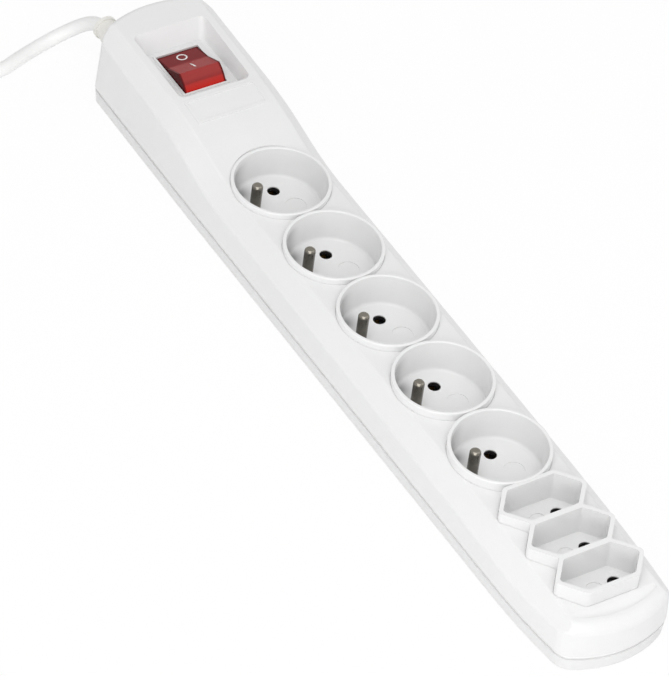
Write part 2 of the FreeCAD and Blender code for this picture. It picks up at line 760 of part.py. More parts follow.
def make_clip(x, y):
    """Spring contact: a U of sheet brass whose leaves lean in and flare at the mouth."""
    half = clip_gap / 2
    mouth_z = clip_top_z - 1.6
    z0 = bar_top_z
    outline_points = [
        (-half - clip_leaf - 0.4, z0), (half + clip_leaf + 0.4, z0),
        (half + clip_leaf, mouth_z), (half + clip_leaf + 0.6, clip_top_z),
        (half + 0.6, clip_top_z), (half, mouth_z),
        (half + 0.3, z0 + clip_leaf), (-half - 0.3, z0 + clip_leaf),
        (-half, mouth_z), (-half - 0.6, clip_top_z),
        (-half - clip_leaf - 0.6, clip_top_z), (-half - clip_leaf, mouth_z),
    ]
    ring = [V(x + px, y - clip_width / 2, pz) for px, pz in outline_points]
    return Part.Face(Part.makePolygon(ring + ring[:1])).extrude(V(0, clip_width, 0))


def clip_places(side):
    """Contact places of one pole: under the round sockets, then under the flat ones."""
    places = [(x - side * abs(contact_dx), side * abs(contact_dy)) for x in round_xs]
    return places + [(x, side * flat_contact_offset) for x in flat_xs]


# ---- switch -----------------------------------------------------------------------------------
def tilted(shape, degrees):
    """Turn a shape about the rocker's axle."""
    shape.rotate(V(switch_x, 0, pivot_z), V(0, 1, 0), degrees)
    return shape


def sector(half_length, ridge, dish, lower, half_width):
    """Level rocker cap: arcs about the axle for ends and a shallow V on top."""
    radius = math.hypot(half_length, ridge)
    foot = math.sqrt(radius ** 2 - lower ** 2)
    mid_angle = (math.atan2(ridge, half_length) + math.atan2(lower, foot)) / 2
    mid = (radius * math.cos(mid_angle), radius * math.sin(mid_angle))

    def at(px, pz):
        return V(switch_x + px, -half_width, pivot_z + pz)

    edges = [
        Part.LineSegment(at(-half_length, ridge), at(0, ridge - dish)),
        Part.LineSegment(at(0, ridge - dish), at(half_length, ridge)),
        Part.Arc(at(half_length, ridge), at(*mid), at(foot, lower)),
        Part.LineSegment(at(foot, lower), at(-foot, lower)),
        Part.Arc(at(-foot, lower), at(-mid[0], mid[1]), at(-half_length, ridge)),
    ]
    face = Part.Face(Part.Wire([edge.toShape() for edge in edges]))
    return face.extrude(V(0, 2 * half_width, 0))


def make_rocker():
    """Hollow rocker cap with two side cheeks and stub axles, resting in its off position."""
    half = rocker_width / 2
    cap = sector(rocker_half_length, rocker_ridge, rocker_dish, rocker_skirt, half)
    inside = sector(rocker_half_length - rocker_wall, rocker_ridge - rocker_wall, rocker_dish,
                    rocker_skirt - 1.0, half - rocker_wall)
    cap = cap.cut(inside.common(box(switch_x - rocker_width, switch_x + rocker_width,
                                    -rocker_width, rocker_width, 0,
                                    pivot_z + rocker_ridge - rocker_wall)))
    for side in (-1, 1):
        y0, y1 = sorted((side * half, side * (half - rocker_wall)))
        cheek = box(switch_x - cheek_half_length, switch_x + cheek_half_length, y0, y1,
                    pivot_z - cheek_reach, pivot_z + rocker_skirt + 1)
        axle = Part.makeCylinder(axle_radius, bezel_clearance + axle_reach + rocker_wall,
                                 V(switch_x, side * (half - rocker_wall), pivot_z), V(0, side, 0))
        cap = cap.fuse(cheek).fuse(axle)
    for side in (-1, 1):
        tube_y = side * pole_offset
        guide = drum(guide_radius, switch_x, tube_y, pivot_z - guide_reach,
                     pivot_z + rocker_ridge - rocker_dish - rocker_wall / 2)
        bore = drum(plunger_radius + axle_clearance, switch_x, tube_y,
                    pivot_z - 2 * guide_reach, pivot_z + guide_bore_top)
        cap = cap.fuse(guide).cut(bore)
    return tilted(solid_of(cap), -rocker_throw)


def make_plungers():
    """Spring-loaded pushers of the two poles, one solid each."""
    pair = []
    for side in (-1, 1):
        y = side * pole_offset
        rod = drum(plunger_radius, switch_x, y, plunger_z, pivot_z + plunger_top)
        tip = Part.makeSphere(plunger_radius, V(switch_x, y, plunger_z))
        pair.append(tilted(solid_of(rod.fuse(tip)), -rocker_throw))
    return Part.makeCompound(pair)


def make_plunger_springs():
    """Small compression springs above the pushers, as plain sleeves."""
    pair = []
    for side in (-1, 1):
        y = side * pole_offset
        low = pivot_z + plunger_top
        high = pivot_z + guide_bore_top
        sleeve = drum(plunger_radius, switch_x, y, low, high)
        sleeve = sleeve.cut(drum(plunger_radius - spring_wire, switch_x, y, low - 1, high + 1))
        pair.append(tilted(solid_of(sleeve), -rocker_throw))
    return Part.makeCompound(pair)


def make_neon_lamp():
    """Glow lamp held across the inside of the rocker cap."""
    length = rocker_width - 2 * rocker_wall - 2 * bezel_clearance
    start = V(switch_x + lamp_dx, -length / 2, pivot_z + lamp_dz)
    lamp = Part.makeCylinder(lamp_radius, length, start, V(0, 1, 0))
    ends = [e for e in lamp.Edges if e.BoundBox.YLength < 0.01]
    return tilted(lamp.makeFillet(lamp_radius * 0.6, ends), -rocker_throw)


def make_switch_housing():
    """Open-topped housing with the raised bezel lip and holes for the axles and tabs."""
    half_l = housing_half_length
    half_w = housing_half_width
    x = switch_x
    mouth_l = rocker_mouth()
    mouth_w = rocker_width / 2 + bezel_clearance
    shell = box(x - half_l, x + half_l, -half_w, half_w, housing_bottom_z, switch_floor_z)
    shell = shell.cut(box(x - half_l + housing_wall, x + half_l - housing_wall, -mouth_w, mouth_w,
                          housing_bottom_z + housing_floor, switch_floor_z + 1))
    flange = box(x - half_l - 0.3, x + half_l + 0.3, -bezel_half_width, bezel_half_width,
                 switch_floor_z, switch_floor_z + bezel_flange)
    lip = box(x - mouth_l - bezel_lip, x + mouth_l + bezel_lip, -mouth_w - bezel_lip,
              mouth_w + bezel_lip, switch_floor_z, switch_floor_z + bezel_lip_height)
    mouth = box(x - mouth_l, x + mouth_l, -mouth_w, mouth_w, switch_floor_z - 1,
                switch_floor_z + bezel_lip_height + 1)
    shell = shell.fuse(flange).fuse(lip).cut(mouth)
    shell = shell.cut(Part.makeCylinder(axle_radius + axle_clearance, 4 * half_w,
                                        V(x, -2 * half_w, pivot_z), V(0, 1, 0)))
    for tab_x, tab_y in tab_places():
        shell = shell.cut(tab_box(tab_x, tab_y, hole_clearance, housing_bottom_z - 1,
                                  housing_bottom_z + housing_floor + 1))
    return solid_of(shell)


def rocker_mouth():
    """Half length of the bezel's mouth: clears the rocker's ridge in both positions."""
    ridge_x = rocker_half_length * math.cos(rest_tilt) + rocker_ridge * math.sin(rest_tilt)
    return ridge_x + bezel_clearance


def tab_places():
    """Terminal tabs: feed tabs in the middle, load tabs towards the cord."""
    return [(switch_x + dx, side * pole_offset) for dx in (0, -tab_pitch) for side in (-1, 1)]


def tab_box(x, y, grow, z0, z1):
    """Upright blade, wide across the strip."""
    return box(x - tab_thickness / 2 - grow, x + tab_thickness / 2 + grow,
               y - tab_width / 2 - grow, y + tab_width / 2 + grow, z0, z1)


def make_tab(x, y):
    """Brass terminal tab: feed tabs carry the arm's knife edge, load tabs meet its free end."""
    top = arm_z if x == switch_x else arm_z - load_tab_drop
    return tab_box(x, y, 0, housing_bottom_z - tab_length, top)


def make_contact_arms():
    """Rocking contact arms of the two poles, tilted to their open position."""
    pair = []
    for side in (-1, 1):
        y = side * pole_offset
        z = arm_z + hole_clearance
        arm = box(switch_x - arm_half_length, switch_x + arm_half_length, y - arm_width / 2,
                  y + arm_width / 2, z, z + arm_thickness)
        arm.rotate(V(switch_x, 0, z), V(0, 1, 0), -rocker_throw * arm_ratio)
        pair.append(arm)
    return Part.makeCompound(pair)


# ---- mains lead -------------------------------------------------------------------------------
def along_cord(radius, x_in, x_out):
    """Cylinder on the axis of the cord's entry."""
    return Part.makeCylinder(radius, x_in - x_out, V(x_out, cord_y, cord_z), V(1, 0, 0))


def make_bush():
    """Tapered strain relief: neck in the wall, ribs outside and a round end flange."""
    x0 = far_wall_x + bush_inside
    x1 = bush_tip_x
    root = Part.makeCone(bush_root_radius, bush_tip_radius, far_wall_x - x1 - 1.0,
                         V(far_wall_x - 1.0, cord_y, cord_z), V(-1, 0, 0))
    neck = Part.makeCylinder(bush_root_radius - bush_neck_inset, bush_inside + 1.5,
                             V(x0, cord_y, cord_z), V(-1, 0, 0))
    tip = Part.makeCylinder(bush_flange_radius, bush_flange, V(x1 + bush_flange, cord_y, cord_z),
                            V(-1, 0, 0))
    body = root.fuse(neck).fuse(tip)
    collar = Part.makeCylinder(bush_root_radius, 1.5, V(x0 + 1.0, cord_y, cord_z), V(-1, 0, 0))
    body = body.fuse(collar)
    body = body.cut(along_cord(cord_diameter / 2 + bush_bore_clearance, x0 + 10, x1 - 10))
    return solid_of(body)


def make_clamp():
    """Saddle over the cord's sheath, with two feet on the tray's posts."""
    grip = cord_diameter / 2 + clamp_gap
    x0 = clamp_x - clamp_half_length + clamp_inset
    x1 = clamp_x + clamp_half_length - clamp_inset
    arch = along_cord(grip + clamp_thickness, x1, x0)
    half = clamp_width + clamp_post_radius
    feet = box(x0, x1, cord_y - half, cord_y + half, cord_z, cord_z + clamp_thickness)
    saddle = arch.fuse(feet).cut(along_cord(grip, x1 + 1, x0 - 1))
    saddle = saddle.cut(box(x0 - 1, x1 + 1, cord_y - half, cord_y + half, 0, cord_z))
    for side in (-1, 1):
        y = cord_y + side * clamp_width
        saddle = saddle.cut(drum(clamp_screw_radius + hole_clearance, clamp_x, y,
                                 cord_z - 1, cord_z + clamp_thickness + 1))
        saddle = saddle.cut(drum(clamp_head_radius + hole_clearance, clamp_x, y,
                                 cord_z + clamp_thickness, cord_z + grip + clamp_thickness))
    return solid_of(saddle)


def make_clamp_screws():
    """Two pan-head screws of the cord clamp."""
    pair = []
    top = cord_z + clamp_thickness
    for side in (-1, 1):
        y = cord_y + side * clamp_width
        shank = drum(clamp_screw_radius, clamp_x, y, top - clamp_screw_length, top)
        head = drum(clamp_head_radius, clamp_x, y, top, top + clamp_head)
        slot = box(clamp_x - clamp_half_length, clamp_x + clamp_half_length,
                   y - clamp_slot / 2, y + clamp_slot / 2, top + clamp_head - clamp_slot,
                   top + clamp_head + 1)
        pair.append(solid_of(shank.fuse(head).cut(slot)))
    return Part.makeCompound(pair)


def core_start(degrees):
    """Where one insulated core leaves the sheath."""
    angle = math.radians(degrees)
    return V(sheath_end_x, cord_y + core_circle * math.cos(angle),
             cord_z + core_circle * math.sin(angle))


def from_switch(route):
    """Corners of a wire's route whose X is counted from the middle of the switch."""
    return [V(switch_x + x, y, z) for x, y, z in route]


def make_feed_wires():
    """Three cores from the sheath: neutral and live to the switch, earth to its bar."""
    x_tab = switch_x + tab_thickness / 2
    earth_x = round_xs[0] + pin_dx - 3 * bar_end_margin
    earth_z = earth_bar_z + bar_thickness / 2
    wires = []
    for name, degrees, lead, route, side in (
            ("neutral_feed_wire", -30, neutral_core_lead, neutral_feed_route, -1),
            ("live_feed_wire", 90, live_core_lead, live_feed_route, 1)):
        start = core_start(degrees)
        points = [start, start + V(lead, 0, 0)] + from_switch(route)
        turn = V(points[-1].x, side * pole_offset, points[-1].z)
        wires.append((name, points + [turn, V(x_tab, turn.y, turn.z)]))
    start = core_start(210)
    points = [start, start + V(earth_core_lead, 0, 0)] + from_switch(earth_route)
    points += [V(switch_x + earth_turn, pin_dy, earth_z), V(earth_x, pin_dy, earth_z)]
    return wires + [("earth_wire", points)]


def make_load_wire(side):
    """Wire from a load tab, round the switch's underside, to the bar of its pole."""
    y = side * pole_offset
    wide = side * load_side
    bar_y = side * abs(contact_dy)
    bar_x = min(x - side * abs(contact_dx) for x in round_xs) - 2 * bar_end_margin
    z = bar_z + bar_thickness / 2
    tab = V(switch_x - tab_pitch - tab_thickness / 2, y, z + load_rise)
    return [tab, V(switch_x + load_turn, y, z + load_rise), V(switch_x + load_turn, wide, z),
            V(switch_x + load_middle, wide + side * load_rise / 2, z),
            V(switch_x + load_near, wide, z), V(switch_x + earth_turn, bar_y, z),
            V(bar_x, bar_y, z)]


# ---- free cord, coil and plug -----------------------------------------------------------------
def lead_points():
    """Route of the free stretch from inside the bush to the coil."""
    start = V(bush_tip_x + cord_overlap, cord_y, cord_z)
    return [start] + [V(x - body_length / 2, y, z) for x, y, z in cord_route]


def coil_place():
    """Centre of the coil, the heading into its outer turn and that turn's radius."""
    before, last = lead_points()[-2:]
    heading = (last - before).normalize()
    right = V(heading.y, -heading.x, 0)
    outer_turn = coil_radius + (coil_columns - 1) / 2 * cord_diameter
    touch = last + heading * coil_stub
    return touch + right * outer_turn, heading, outer_turn


def level_heading(degrees):
    """Level direction at an angle to the right of +Y."""
    angle = math.radians(degrees)
    return V(math.sin(angle), math.cos(angle), 0)


def coil_way_out():
    """Where the cord leaves the outer turn, and its heading there."""
    centre, heading, outer_turn = coil_place()
    out = level_heading(coil_exit)
    return centre + V(-out.y, out.x, 0) * outer_turn, out


def make_coil():
    """Outer shape of the put-away turns, with the straight stubs of the cord's two ends."""
    centre, heading, outer_turn = coil_place()
    half = coil_columns * cord_diameter / 2
    height = coil_layers * cord_diameter
    ring = Part.makeCylinder(coil_radius + half, height, V(centre.x, centre.y, 0))
    ring = ring.cut(Part.makeCylinder(coil_radius - half, height + 2, V(centre.x, centre.y, -1)))
    rims = [e for e in ring.Edges if e.BoundBox.ZLength < 0.01]
    ring = ring.makeFillet(coil_edge_radius, rims)
    last = lead_points()[-1]
    leaves, out = coil_way_out()
    for start, way in ((last, heading), (leaves, out)):
        ring = ring.fuse(Part.makeCylinder(cord_diameter / 2, coil_stub, start, way))
    return solid_of(ring.cut(tie_band(tie_thickness + tie_clearance, tie_width + 2 * tie_clearance)))


def tie_band(thickness, width):
    """Flat loop round the coil's section, flush with its outside."""
    centre, heading, outer_turn = coil_place()
    half = coil_columns * cord_diameter / 2
    height = coil_layers * cord_diameter
    x0 = centre.x + coil_radius - half
    x1 = centre.x + coil_radius + half
    y0 = centre.y - width / 2
    y1 = centre.y + width / 2
    extra = thickness - tie_thickness
    band = box(x0 - extra, x1 + extra, y0, y1, -extra, height + extra)
    band = band.cut(box(x0 + thickness, x1 - thickness, y0 - 1, y1 + 1, thickness,
                        height - thickness))
    band.rotate(centre, V(0, 0, 1), tie_angle)
    return band


def tail_points():
    """Route of the short stretch between the coil and the plug."""
    leaves, out = coil_way_out()
    points = [leaves + out * coil_stub]
    for i in range(tail_corners):
        points.append(points[-1] + level_heading(coil_exit + i * tail_turn) * tail_run)
    return points + [points[-1] + plug_heading() * tail_run]


def plug_heading():
    """Direction of the plug's axis."""
    tilt = math.radians(plug_tilt)
    level = level_heading(coil_exit + tail_corners * tail_turn)
    return level * math.cos(tilt) + V(0, 0, math.sin(tilt))


def plug_placed(shape):
    """Lay a shape that was made along +X at the end of the cord."""
    shape.rotate(V(0, 0, 0), V(0, 1, 0), -plug_tilt)
    shape.rotate(V(0, 0, 0), V(0, 0, 1), 90 - coil_exit - tail_corners * tail_turn)
    shape.translate(tail_points()[-1])
    return shape


def make_plug_body():
    """Round earthed plug: strain relief, tapered neck and rim with the earth contact's hole."""
    relief_end = plug_relief_length
    rim_start = relief_end + plug_shoulder
    front = rim_start + plug_rim_length
    axis = V(1, 0, 0)
    body = Part.makeCone(plug_relief_tip, plug_relief_root, relief_end, V(0, 0, 0), axis)
    body = body.fuse(Part.makeCone(plug_neck_radius, plug_rim_radius - plug_rim_step, plug_shoulder,
                                   V(relief_end, 0, 0), axis))
    rim = Part.makeCylinder(plug_rim_radius, plug_rim_length, V(rim_start, 0, 0), axis)
    edges = [e for e in rim.Edges if e.BoundBox.XLength < 0.01]
    body = body.fuse(rim.makeFillet(plug_edge_radius, edges))
    for side in (-1, 1):
        body = body.cut(Part.makeCylinder(plug_prong_radius + hole_clearance, plug_socket + 1,
                                          V(front - plug_socket, side * plug_prong_offset, 0), axis))
    body = body.cut(Part.makeCylinder(plug_earth_hole, plug_earth_depth + 1,
                                      V(front - plug_earth_depth, 0, pin_offset), axis))
    return plug_placed(solid_of(body))


def make_plug_prongs():
    """Two round prongs with domed ends."""
    front = plug_relief_length + plug_shoulder + plug_rim_length
    pair = []
    for side in (-1, 1):
        prong = Part.makeCylinder(plug_prong_radius, plug_prong_length + plug_socket,
                                  V(front - plug_socket, side * plug_prong_offset, 0), V(1, 0, 0))
        ends = [e for e in prong.Edges if abs(e.BoundBox.XMin - front - plug_prong_length) < 0.01]
        pair.append(plug_placed(prong.makeFillet(plug_prong_radius * 0.6, ends)))
    return Part.makeCompound(pair)


def save_tube(name, points, diameter):
    """Write a tube node, and compare its volume with its section times its length."""
    bar, length, radii = tube(points, diameter)
    section = math.pi * diameter ** 2 / 4
    save(name, bar)
    print("%-22s length %.1f radii %s volume ratio %.4f"
          % ("", length, [round(r, 1) for r in radii], bar.Volume / (section * length)))


if __name__ == "__main__":
    os.makedirs("parts", exist_ok=True)
    save("top_cover", make_top_cover())
    save("base_cover", make_base_cover())
    save("case_screws", make_case_screws())
    for i, x in enumerate(round_xs, 1):
        save("socket_cup_%d" % i, make_round_cup(x))
        save("earth_pin_%d" % i, make_earth_pin(x))
    save("flat_socket_block", make_flat_block())
    save("earth_bar", make_earth_bar())
    for name, side in (("live", 1), ("neutral", -1)):
        save(name + "_bar", make_pole_bar(side))
        for i, (x, y) in enumerate(clip_places(side), 1):
            save("%s_clip_%d" % (name, i), make_clip(x, y))
        save_tube(name + "_load_wire", make_load_wire(side), wire_diameter)
    save("rocker", make_rocker())
    save("switch_plungers", make_plungers())
    save("plunger_springs", make_plunger_springs())
    save("neon_lamp", make_neon_lamp())
    save("switch_housing", make_switch_housing())
    save("contact_arms", make_contact_arms())
    tab_names = ("neutral_feed_tab", "live_feed_tab", "neutral_load_tab", "live_load_tab")
    for name, (x, y) in zip(tab_names, tab_places()):
        save(name, make_tab(x, y))
    save("cord_bush", make_bush())
    save("cord_clamp", make_clamp())
    save("clamp_screws", make_clamp_screws())
    for name, points in make_feed_wires():
        save_tube(name, points, wire_diameter)
    save("cord_sheath_end", along_cord(cord_diameter / 2, sheath_end_x, bush_tip_x + cord_overlap))
    save_tube("cord", lead_points(), cord_diameter)
    save("cord_coil", make_coil())
    save("coil_tie", tie_band(tie_thickness, tie_width))
    save_tube("cord_tail", tail_points(), cord_diameter)
    save("plug_body", make_plug_body())
    save("plug_prongs", make_plug_prongs())
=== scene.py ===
import math

import bmesh
import bpy
from mathutils import Matrix, Vector
from mathutils.bvhtree import BVHTree


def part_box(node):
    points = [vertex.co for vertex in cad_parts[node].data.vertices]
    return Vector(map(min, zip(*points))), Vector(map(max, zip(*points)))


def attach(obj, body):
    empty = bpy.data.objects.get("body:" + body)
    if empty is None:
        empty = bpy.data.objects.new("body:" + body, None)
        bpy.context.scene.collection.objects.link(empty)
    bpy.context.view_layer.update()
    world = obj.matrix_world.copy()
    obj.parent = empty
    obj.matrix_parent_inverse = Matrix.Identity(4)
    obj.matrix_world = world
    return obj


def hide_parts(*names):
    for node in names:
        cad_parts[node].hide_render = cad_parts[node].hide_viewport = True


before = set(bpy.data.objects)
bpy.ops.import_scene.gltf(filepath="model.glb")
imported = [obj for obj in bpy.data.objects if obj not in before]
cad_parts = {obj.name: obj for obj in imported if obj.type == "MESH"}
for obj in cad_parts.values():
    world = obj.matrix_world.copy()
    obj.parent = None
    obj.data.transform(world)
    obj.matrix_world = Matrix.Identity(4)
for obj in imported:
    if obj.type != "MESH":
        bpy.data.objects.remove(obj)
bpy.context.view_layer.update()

bl_info = {
    "name": "Power Strip Looks",
    "version": (1, 0, 0),
    "blender": (4, 5, 0),
    "location": "View3D > Sidebar > Power Strip",
    "description": "Dresses the packed power strip with its finishes, mains lead "
                   "and small mouldings",
    "category": "Object",
}

CASE = "case"                 # body that carries the housing, the sockets and the lead
ROCKER = "rocker"             # body that tilts

# The lead's route from inside the bush to the straight run before the coil, in metres.
LEAD_ROUTE = (
    (-0.1995, -0.0117, 0.0190),
    (-0.2085, -0.0117, 0.0190),
    (-0.2166, -0.0140, 0.0151),
    (-0.2224, -0.0204, 0.0082),
    (-0.2241, -0.0317, 0.0032),
    (-0.2198, -0.0465, 0.0032),
    (-0.2155, -0.0578, 0.0032),
    (-0.2178, -0.0751, 0.0032),
    (-0.2339, -0.0941, 0.0032),
    (-0.2631, -0.1019, 0.0032),
)
# Corners of the short tail between the coil and the plug, in metres.
TAIL_ROUTE = (
    (-0.3496, -0.0445, 0.0032),
    (-0.3474, -0.0285, 0.0032),
    (-0.3379, -0.0153, 0.0032),
    (-0.3239, -0.0085, 0.0077),
)
RELIEF_OVERLAP = 0.0006       # end of the sheath inside the plug's strain relief

# How the coil is laid: turns side by side, then shares of a turn where a step starts and how
# much of the turn it takes.
COLUMNS = 3
STEP_IN_AT, STEP_IN_TAKES = 0.86, 0.14
CLIMB_AT, CLIMB_TAKES = 0.72, 0.14
STEP_OUT_AT, STEP_OUT_TAKES = 0.60, 0.12
STUB_SHARES = (0.5, 1.0)      # places along the straight stub that follows the coil
STUB_LIFT = 1.5               # its height over the floor's layer, in diameters, before its slope

# The rocker's top, in metres.
RIDGES_APART = 0.015          # the far ridge is at least this far from the near one
ROCKER_DISH = 0.001           # valley below the line between the ridges

# Switch marks.
RAY_START = 0.01              # height over the rocker from which a mark is dropped, in metres
PRINT_LIFT = 0.2              # share of its thickness by which a mark stands clear
BAR_ROUNDING = 0.45           # corner of the on mark, as a share of the line's width
RING_STEPS = 48

# Where one colour gives way to another: start and end as offsets from a place, in metres.
HOLE_BLEND = (-0.0003, -0.0007)       # painted shade in the contact holes, up from a socket's floor
SHADE_BLEND = (-0.0015, -0.0045)      # painted shade behind a pin, up from the rim
TIP_BLEND = (-0.0016, -0.0004)        # painted highlight on the tip of a pin, up from its end
TOP_BLEND = (-0.0012, 0.0008)         # painted sheen on the raised half of the rocker's top, along from the valley
GLOW_BLEND = (-0.0027, -0.0034)       # painted glow on the rocker's lit end, up from its highest point
FOOT_BLEND = (-0.0066, -0.0070)       # painted shade at the foot of that end, up from the same point
EDGE_BLEND = (-0.0011, -0.0005)       # painted shade along the long edges of the rocker, across from each edge
FAR_BLEND = (0.0007, 0.0002)          # painted shade at the far end of the rocker, along from the far ridge
LIP_BLEND = (0.0060, 0.0064)          # painted light on the tray's lip, up from the floor
SHADE_FULL = 0.0015                   # distance within which a pin's painted shade is at its deepest

PAINTED_SHADE_SHARE = 0.03             # painted shade in the contact holes and behind the pins, as a share of the plastic's colour
# Painted light on the tray's lip, lifting the shade in the gap under the cover.
LIP_PAINTED_LIGHT = (0.95, 0.95, 0.95)
PUSHER_GREY = (0.5, 0.5, 0.48)
CORE_BROWN = (0.12, 0.045, 0.02)
CORE_BLUE = (0.03, 0.12, 0.5)
CORE_GREEN = (0.08, 0.32, 0.05)
CORE_YELLOW = (0.72, 0.6, 0.03)

# Stage.
FLOOR_WHITE = (0.92, 0.92, 0.92, 1.0)
FLOOR_SEEN_WHITE = 0.93       # share of plain white in what the camera sees of the floor
FLOOR_REACH = 6.0             # floor's middle to its sides, in metres
FLOOR_DROP = 0.0002           # floor below the strip, so that the two share no plane
LAMPS = (                     # name, place, side of the square, setting that holds its power
    ("top_lamp", (0.35, -0.26, 1.33), 1.2, "top_light"),
    ("key_lamp", (1.0, -0.77, 0.59), 1.0, "key_light"),
    ("back_lamp", (0.42, 0.98, 0.91), 1.0, "back_light"),
)


# ---- sizes and colours a user would change ---------------------------------------------------
def length(name, description, default):
    """A size in metres."""
    return bpy.props.FloatProperty(name=name, description=description, default=default,
                                   unit="LENGTH", precision=4)


def colour(name, description, default):
    """A linear colour."""
    return bpy.props.FloatVectorProperty(name=name, description=description, default=default,
                                         subtype="COLOR", size=3, min=0.0, max=1.0)


def number(name, description, default):
    """A plain number."""
    return bpy.props.FloatProperty(name=name, description=description, default=default)


class LeadSettings(bpy.types.PropertyGroup):
    """Mains lead and the coil that its spare length is put away in."""
    real_length: length("Length", "Length of the lead from the bush to the plug", 1.4)
    diameter: length("Diameter", "Outer diameter of the sheath", 0.0064)
    coil_radius: length("Coil Radius", "Radius at the middle of the turns", 0.035)
    coil_stub: length("Coil Stub", "Straight stretch beside the outer turn", 0.024)
    turns: number("Turns", "Turns from the way in to the way out", 5.236)
    points_per_turn: bpy.props.IntProperty(name="Points per Turn",
                                           description="Spline points in one turn", default=24)


class MarkSettings(bpy.types.PropertyGroup):
    """Switch marks."""
    ring_radius: length("Ring Radius", "Middle radius of the off mark", 0.00210)
    line_width: length("Line Width", "Width of both marks", 0.00068)
    bar_length: length("Bar Length", "Length of the on mark", 0.0052)
    ring_place: length("Ring Place", "Off mark from the middle of the rocker", 0.0052)
    bar_place: length("Bar Place", "On mark from the middle of the rocker", 0.0043)
    side_shift: length("Side Shift", "Marks' shift across the rocker", 0.0)
    thickness: length("Thickness", "Height of the print over the plastic", 0.00006)


class RibSettings(bpy.types.PropertyGroup):
    """Moulded ribs of the plug's strain relief."""
    count: bpy.props.IntProperty(name="Count", description="Ribs on the plug's strain relief",
                                 default=7)
    thickness: length("Thickness", "Thickness of one rib along the lead", 0.0012)
    first: length("First Rib", "First rib from the tip of the relief", 0.002)
    reach: length("Reach", "First rib to last rib", 0.0165)
    tip_radius: length("Tip Radius", "Radius of the first rib's middle", 0.0046)
    root_radius: length("Root Radius", "Radius of the last rib's middle", 0.0063)


class FinishSettings(bpy.types.PropertyGroup):
    """Colours of the plastics and metals, and the places where their painted shade and painted
    light lie.
    """
    case_white: colour("Case White", "Plastic of the cover", (0.80, 0.80, 0.80))
    socket_white: colour("Socket White", "Plastic of the socket inserts", (0.82, 0.82, 0.82))
    sheath_white: colour("Sheath White", "Plastic of the lead's sheath", (0.88, 0.88, 0.875))
    bush_cream: colour("Bush Cream", "Softer plastic of the bush", (0.83, 0.82, 0.78))
    # The rocker's colours are painted light: a painted glow at its ends, painted shade on its
    # sides, top, long edges and far end, and a painted sheen on the raised half of its top.
    rocker_red: colour("Rocker Red", "Rocker's ends where the lamp's light comes through",
                       (0.60, 0.030, 0.023))
    rocker_deep: colour("Rocker Deep", "Rocker's ends where they are thick", (0.15, 0.008, 0.009))
    rocker_top: colour("Rocker Top", "Rocker's top at its low end", (0.20, 0.030, 0.033))
    rocker_pale: colour("Rocker Pale", "Rocker's top at its raised end", (0.33, 0.046, 0.044))
    rocker_edge: colour("Rocker Edge", "Rocker's long edges", (0.07, 0.004, 0.006))
    rocker_far: length("Rocker Far Ridge", "Place of the low ridge along the strip", -0.16652)
    rocker_valley: length("Rocker Valley", "Place of the valley between the halves", -0.15709)
    rocker_half: length("Rocker Half Width", "Middle of the rocker to its long edges", 0.01015)
    well_depth: length("Well Depth", "Rim to floor of a round socket", 0.015)
    well_pitch: length("Well Pitch", "From one round socket to the next", 0.0433)
    well_middle: length("Well Middle", "Place of the middle round socket", 0.009)
    # Painted shade behind each earth pin.
    shade_along: length("Shade Along", "Shade behind the pin from the socket's centre", -0.0132)
    shade_across: length("Shade Across", "The same across the strip", -0.0112)
    shade_reach: length("Shade Reach", "Reach of that shade", 0.0100)
    shade_depth: number("Shade Depth", "Depth of that shade", 0.62)
    flat_depth: length("Flat Depth", "Rim to floor of a flat socket", 0.0135)
    nickel: colour("Nickel", "Plating of pins and prongs", (0.24, 0.225, 0.195))
    brass: colour("Brass", "Strips and clips", (0.62, 0.42, 0.16))
    steel: colour("Steel", "Screws", (0.45, 0.45, 0.46))


class StageSettings(bpy.types.PropertyGroup):
    """Camera and lights."""
    camera_azimuth: bpy.props.FloatProperty(name="Azimuth", description="Camera's heading",
                                            default=math.radians(53.034), subtype="ANGLE")
    camera_elevation: bpy.props.FloatProperty(name="Elevation", description="Camera's height angle",
                                              default=math.radians(43.623), subtype="ANGLE")
    camera_roll: bpy.props.FloatProperty(name="Roll", description="Camera's roll",
                                         default=math.radians(8.394), subtype="ANGLE")
    camera_distance: length("Distance", "Camera from its target", 2.112688)
    camera_target: bpy.props.FloatVectorProperty(
        name="Target", description="Point in the middle of the view", subtype="XYZ",
        default=(0.0050406, -0.0223172, 0.0212381), precision=5)
    focal_length: bpy.props.FloatProperty(name="Focal Length", description="Lens, millimetres",
                                          default=273.22)
    world_light: number("World Light", "Strength of the even light from all round", 0.61)
    top_light: number("Top Light", "Strength of the lamp overhead", 6.6)
    key_light: number("Key Light", "Strength of the low lamp beside the camera", 6.4)
    back_light: number("Back Light", "Strength of the lamp beyond the strip", 1.2)


class StripSettings(bpy.types.PropertyGroup):
    """All settings of the power strip's looks."""
    lead: bpy.props.PointerProperty(type=LeadSettings)
    marks: bpy.props.PointerProperty(type=MarkSettings)
    ribs: bpy.props.PointerProperty(type=RibSettings)
    finish: bpy.props.PointerProperty(type=FinishSettings)
    stage: bpy.props.PointerProperty(type=StageSettings)


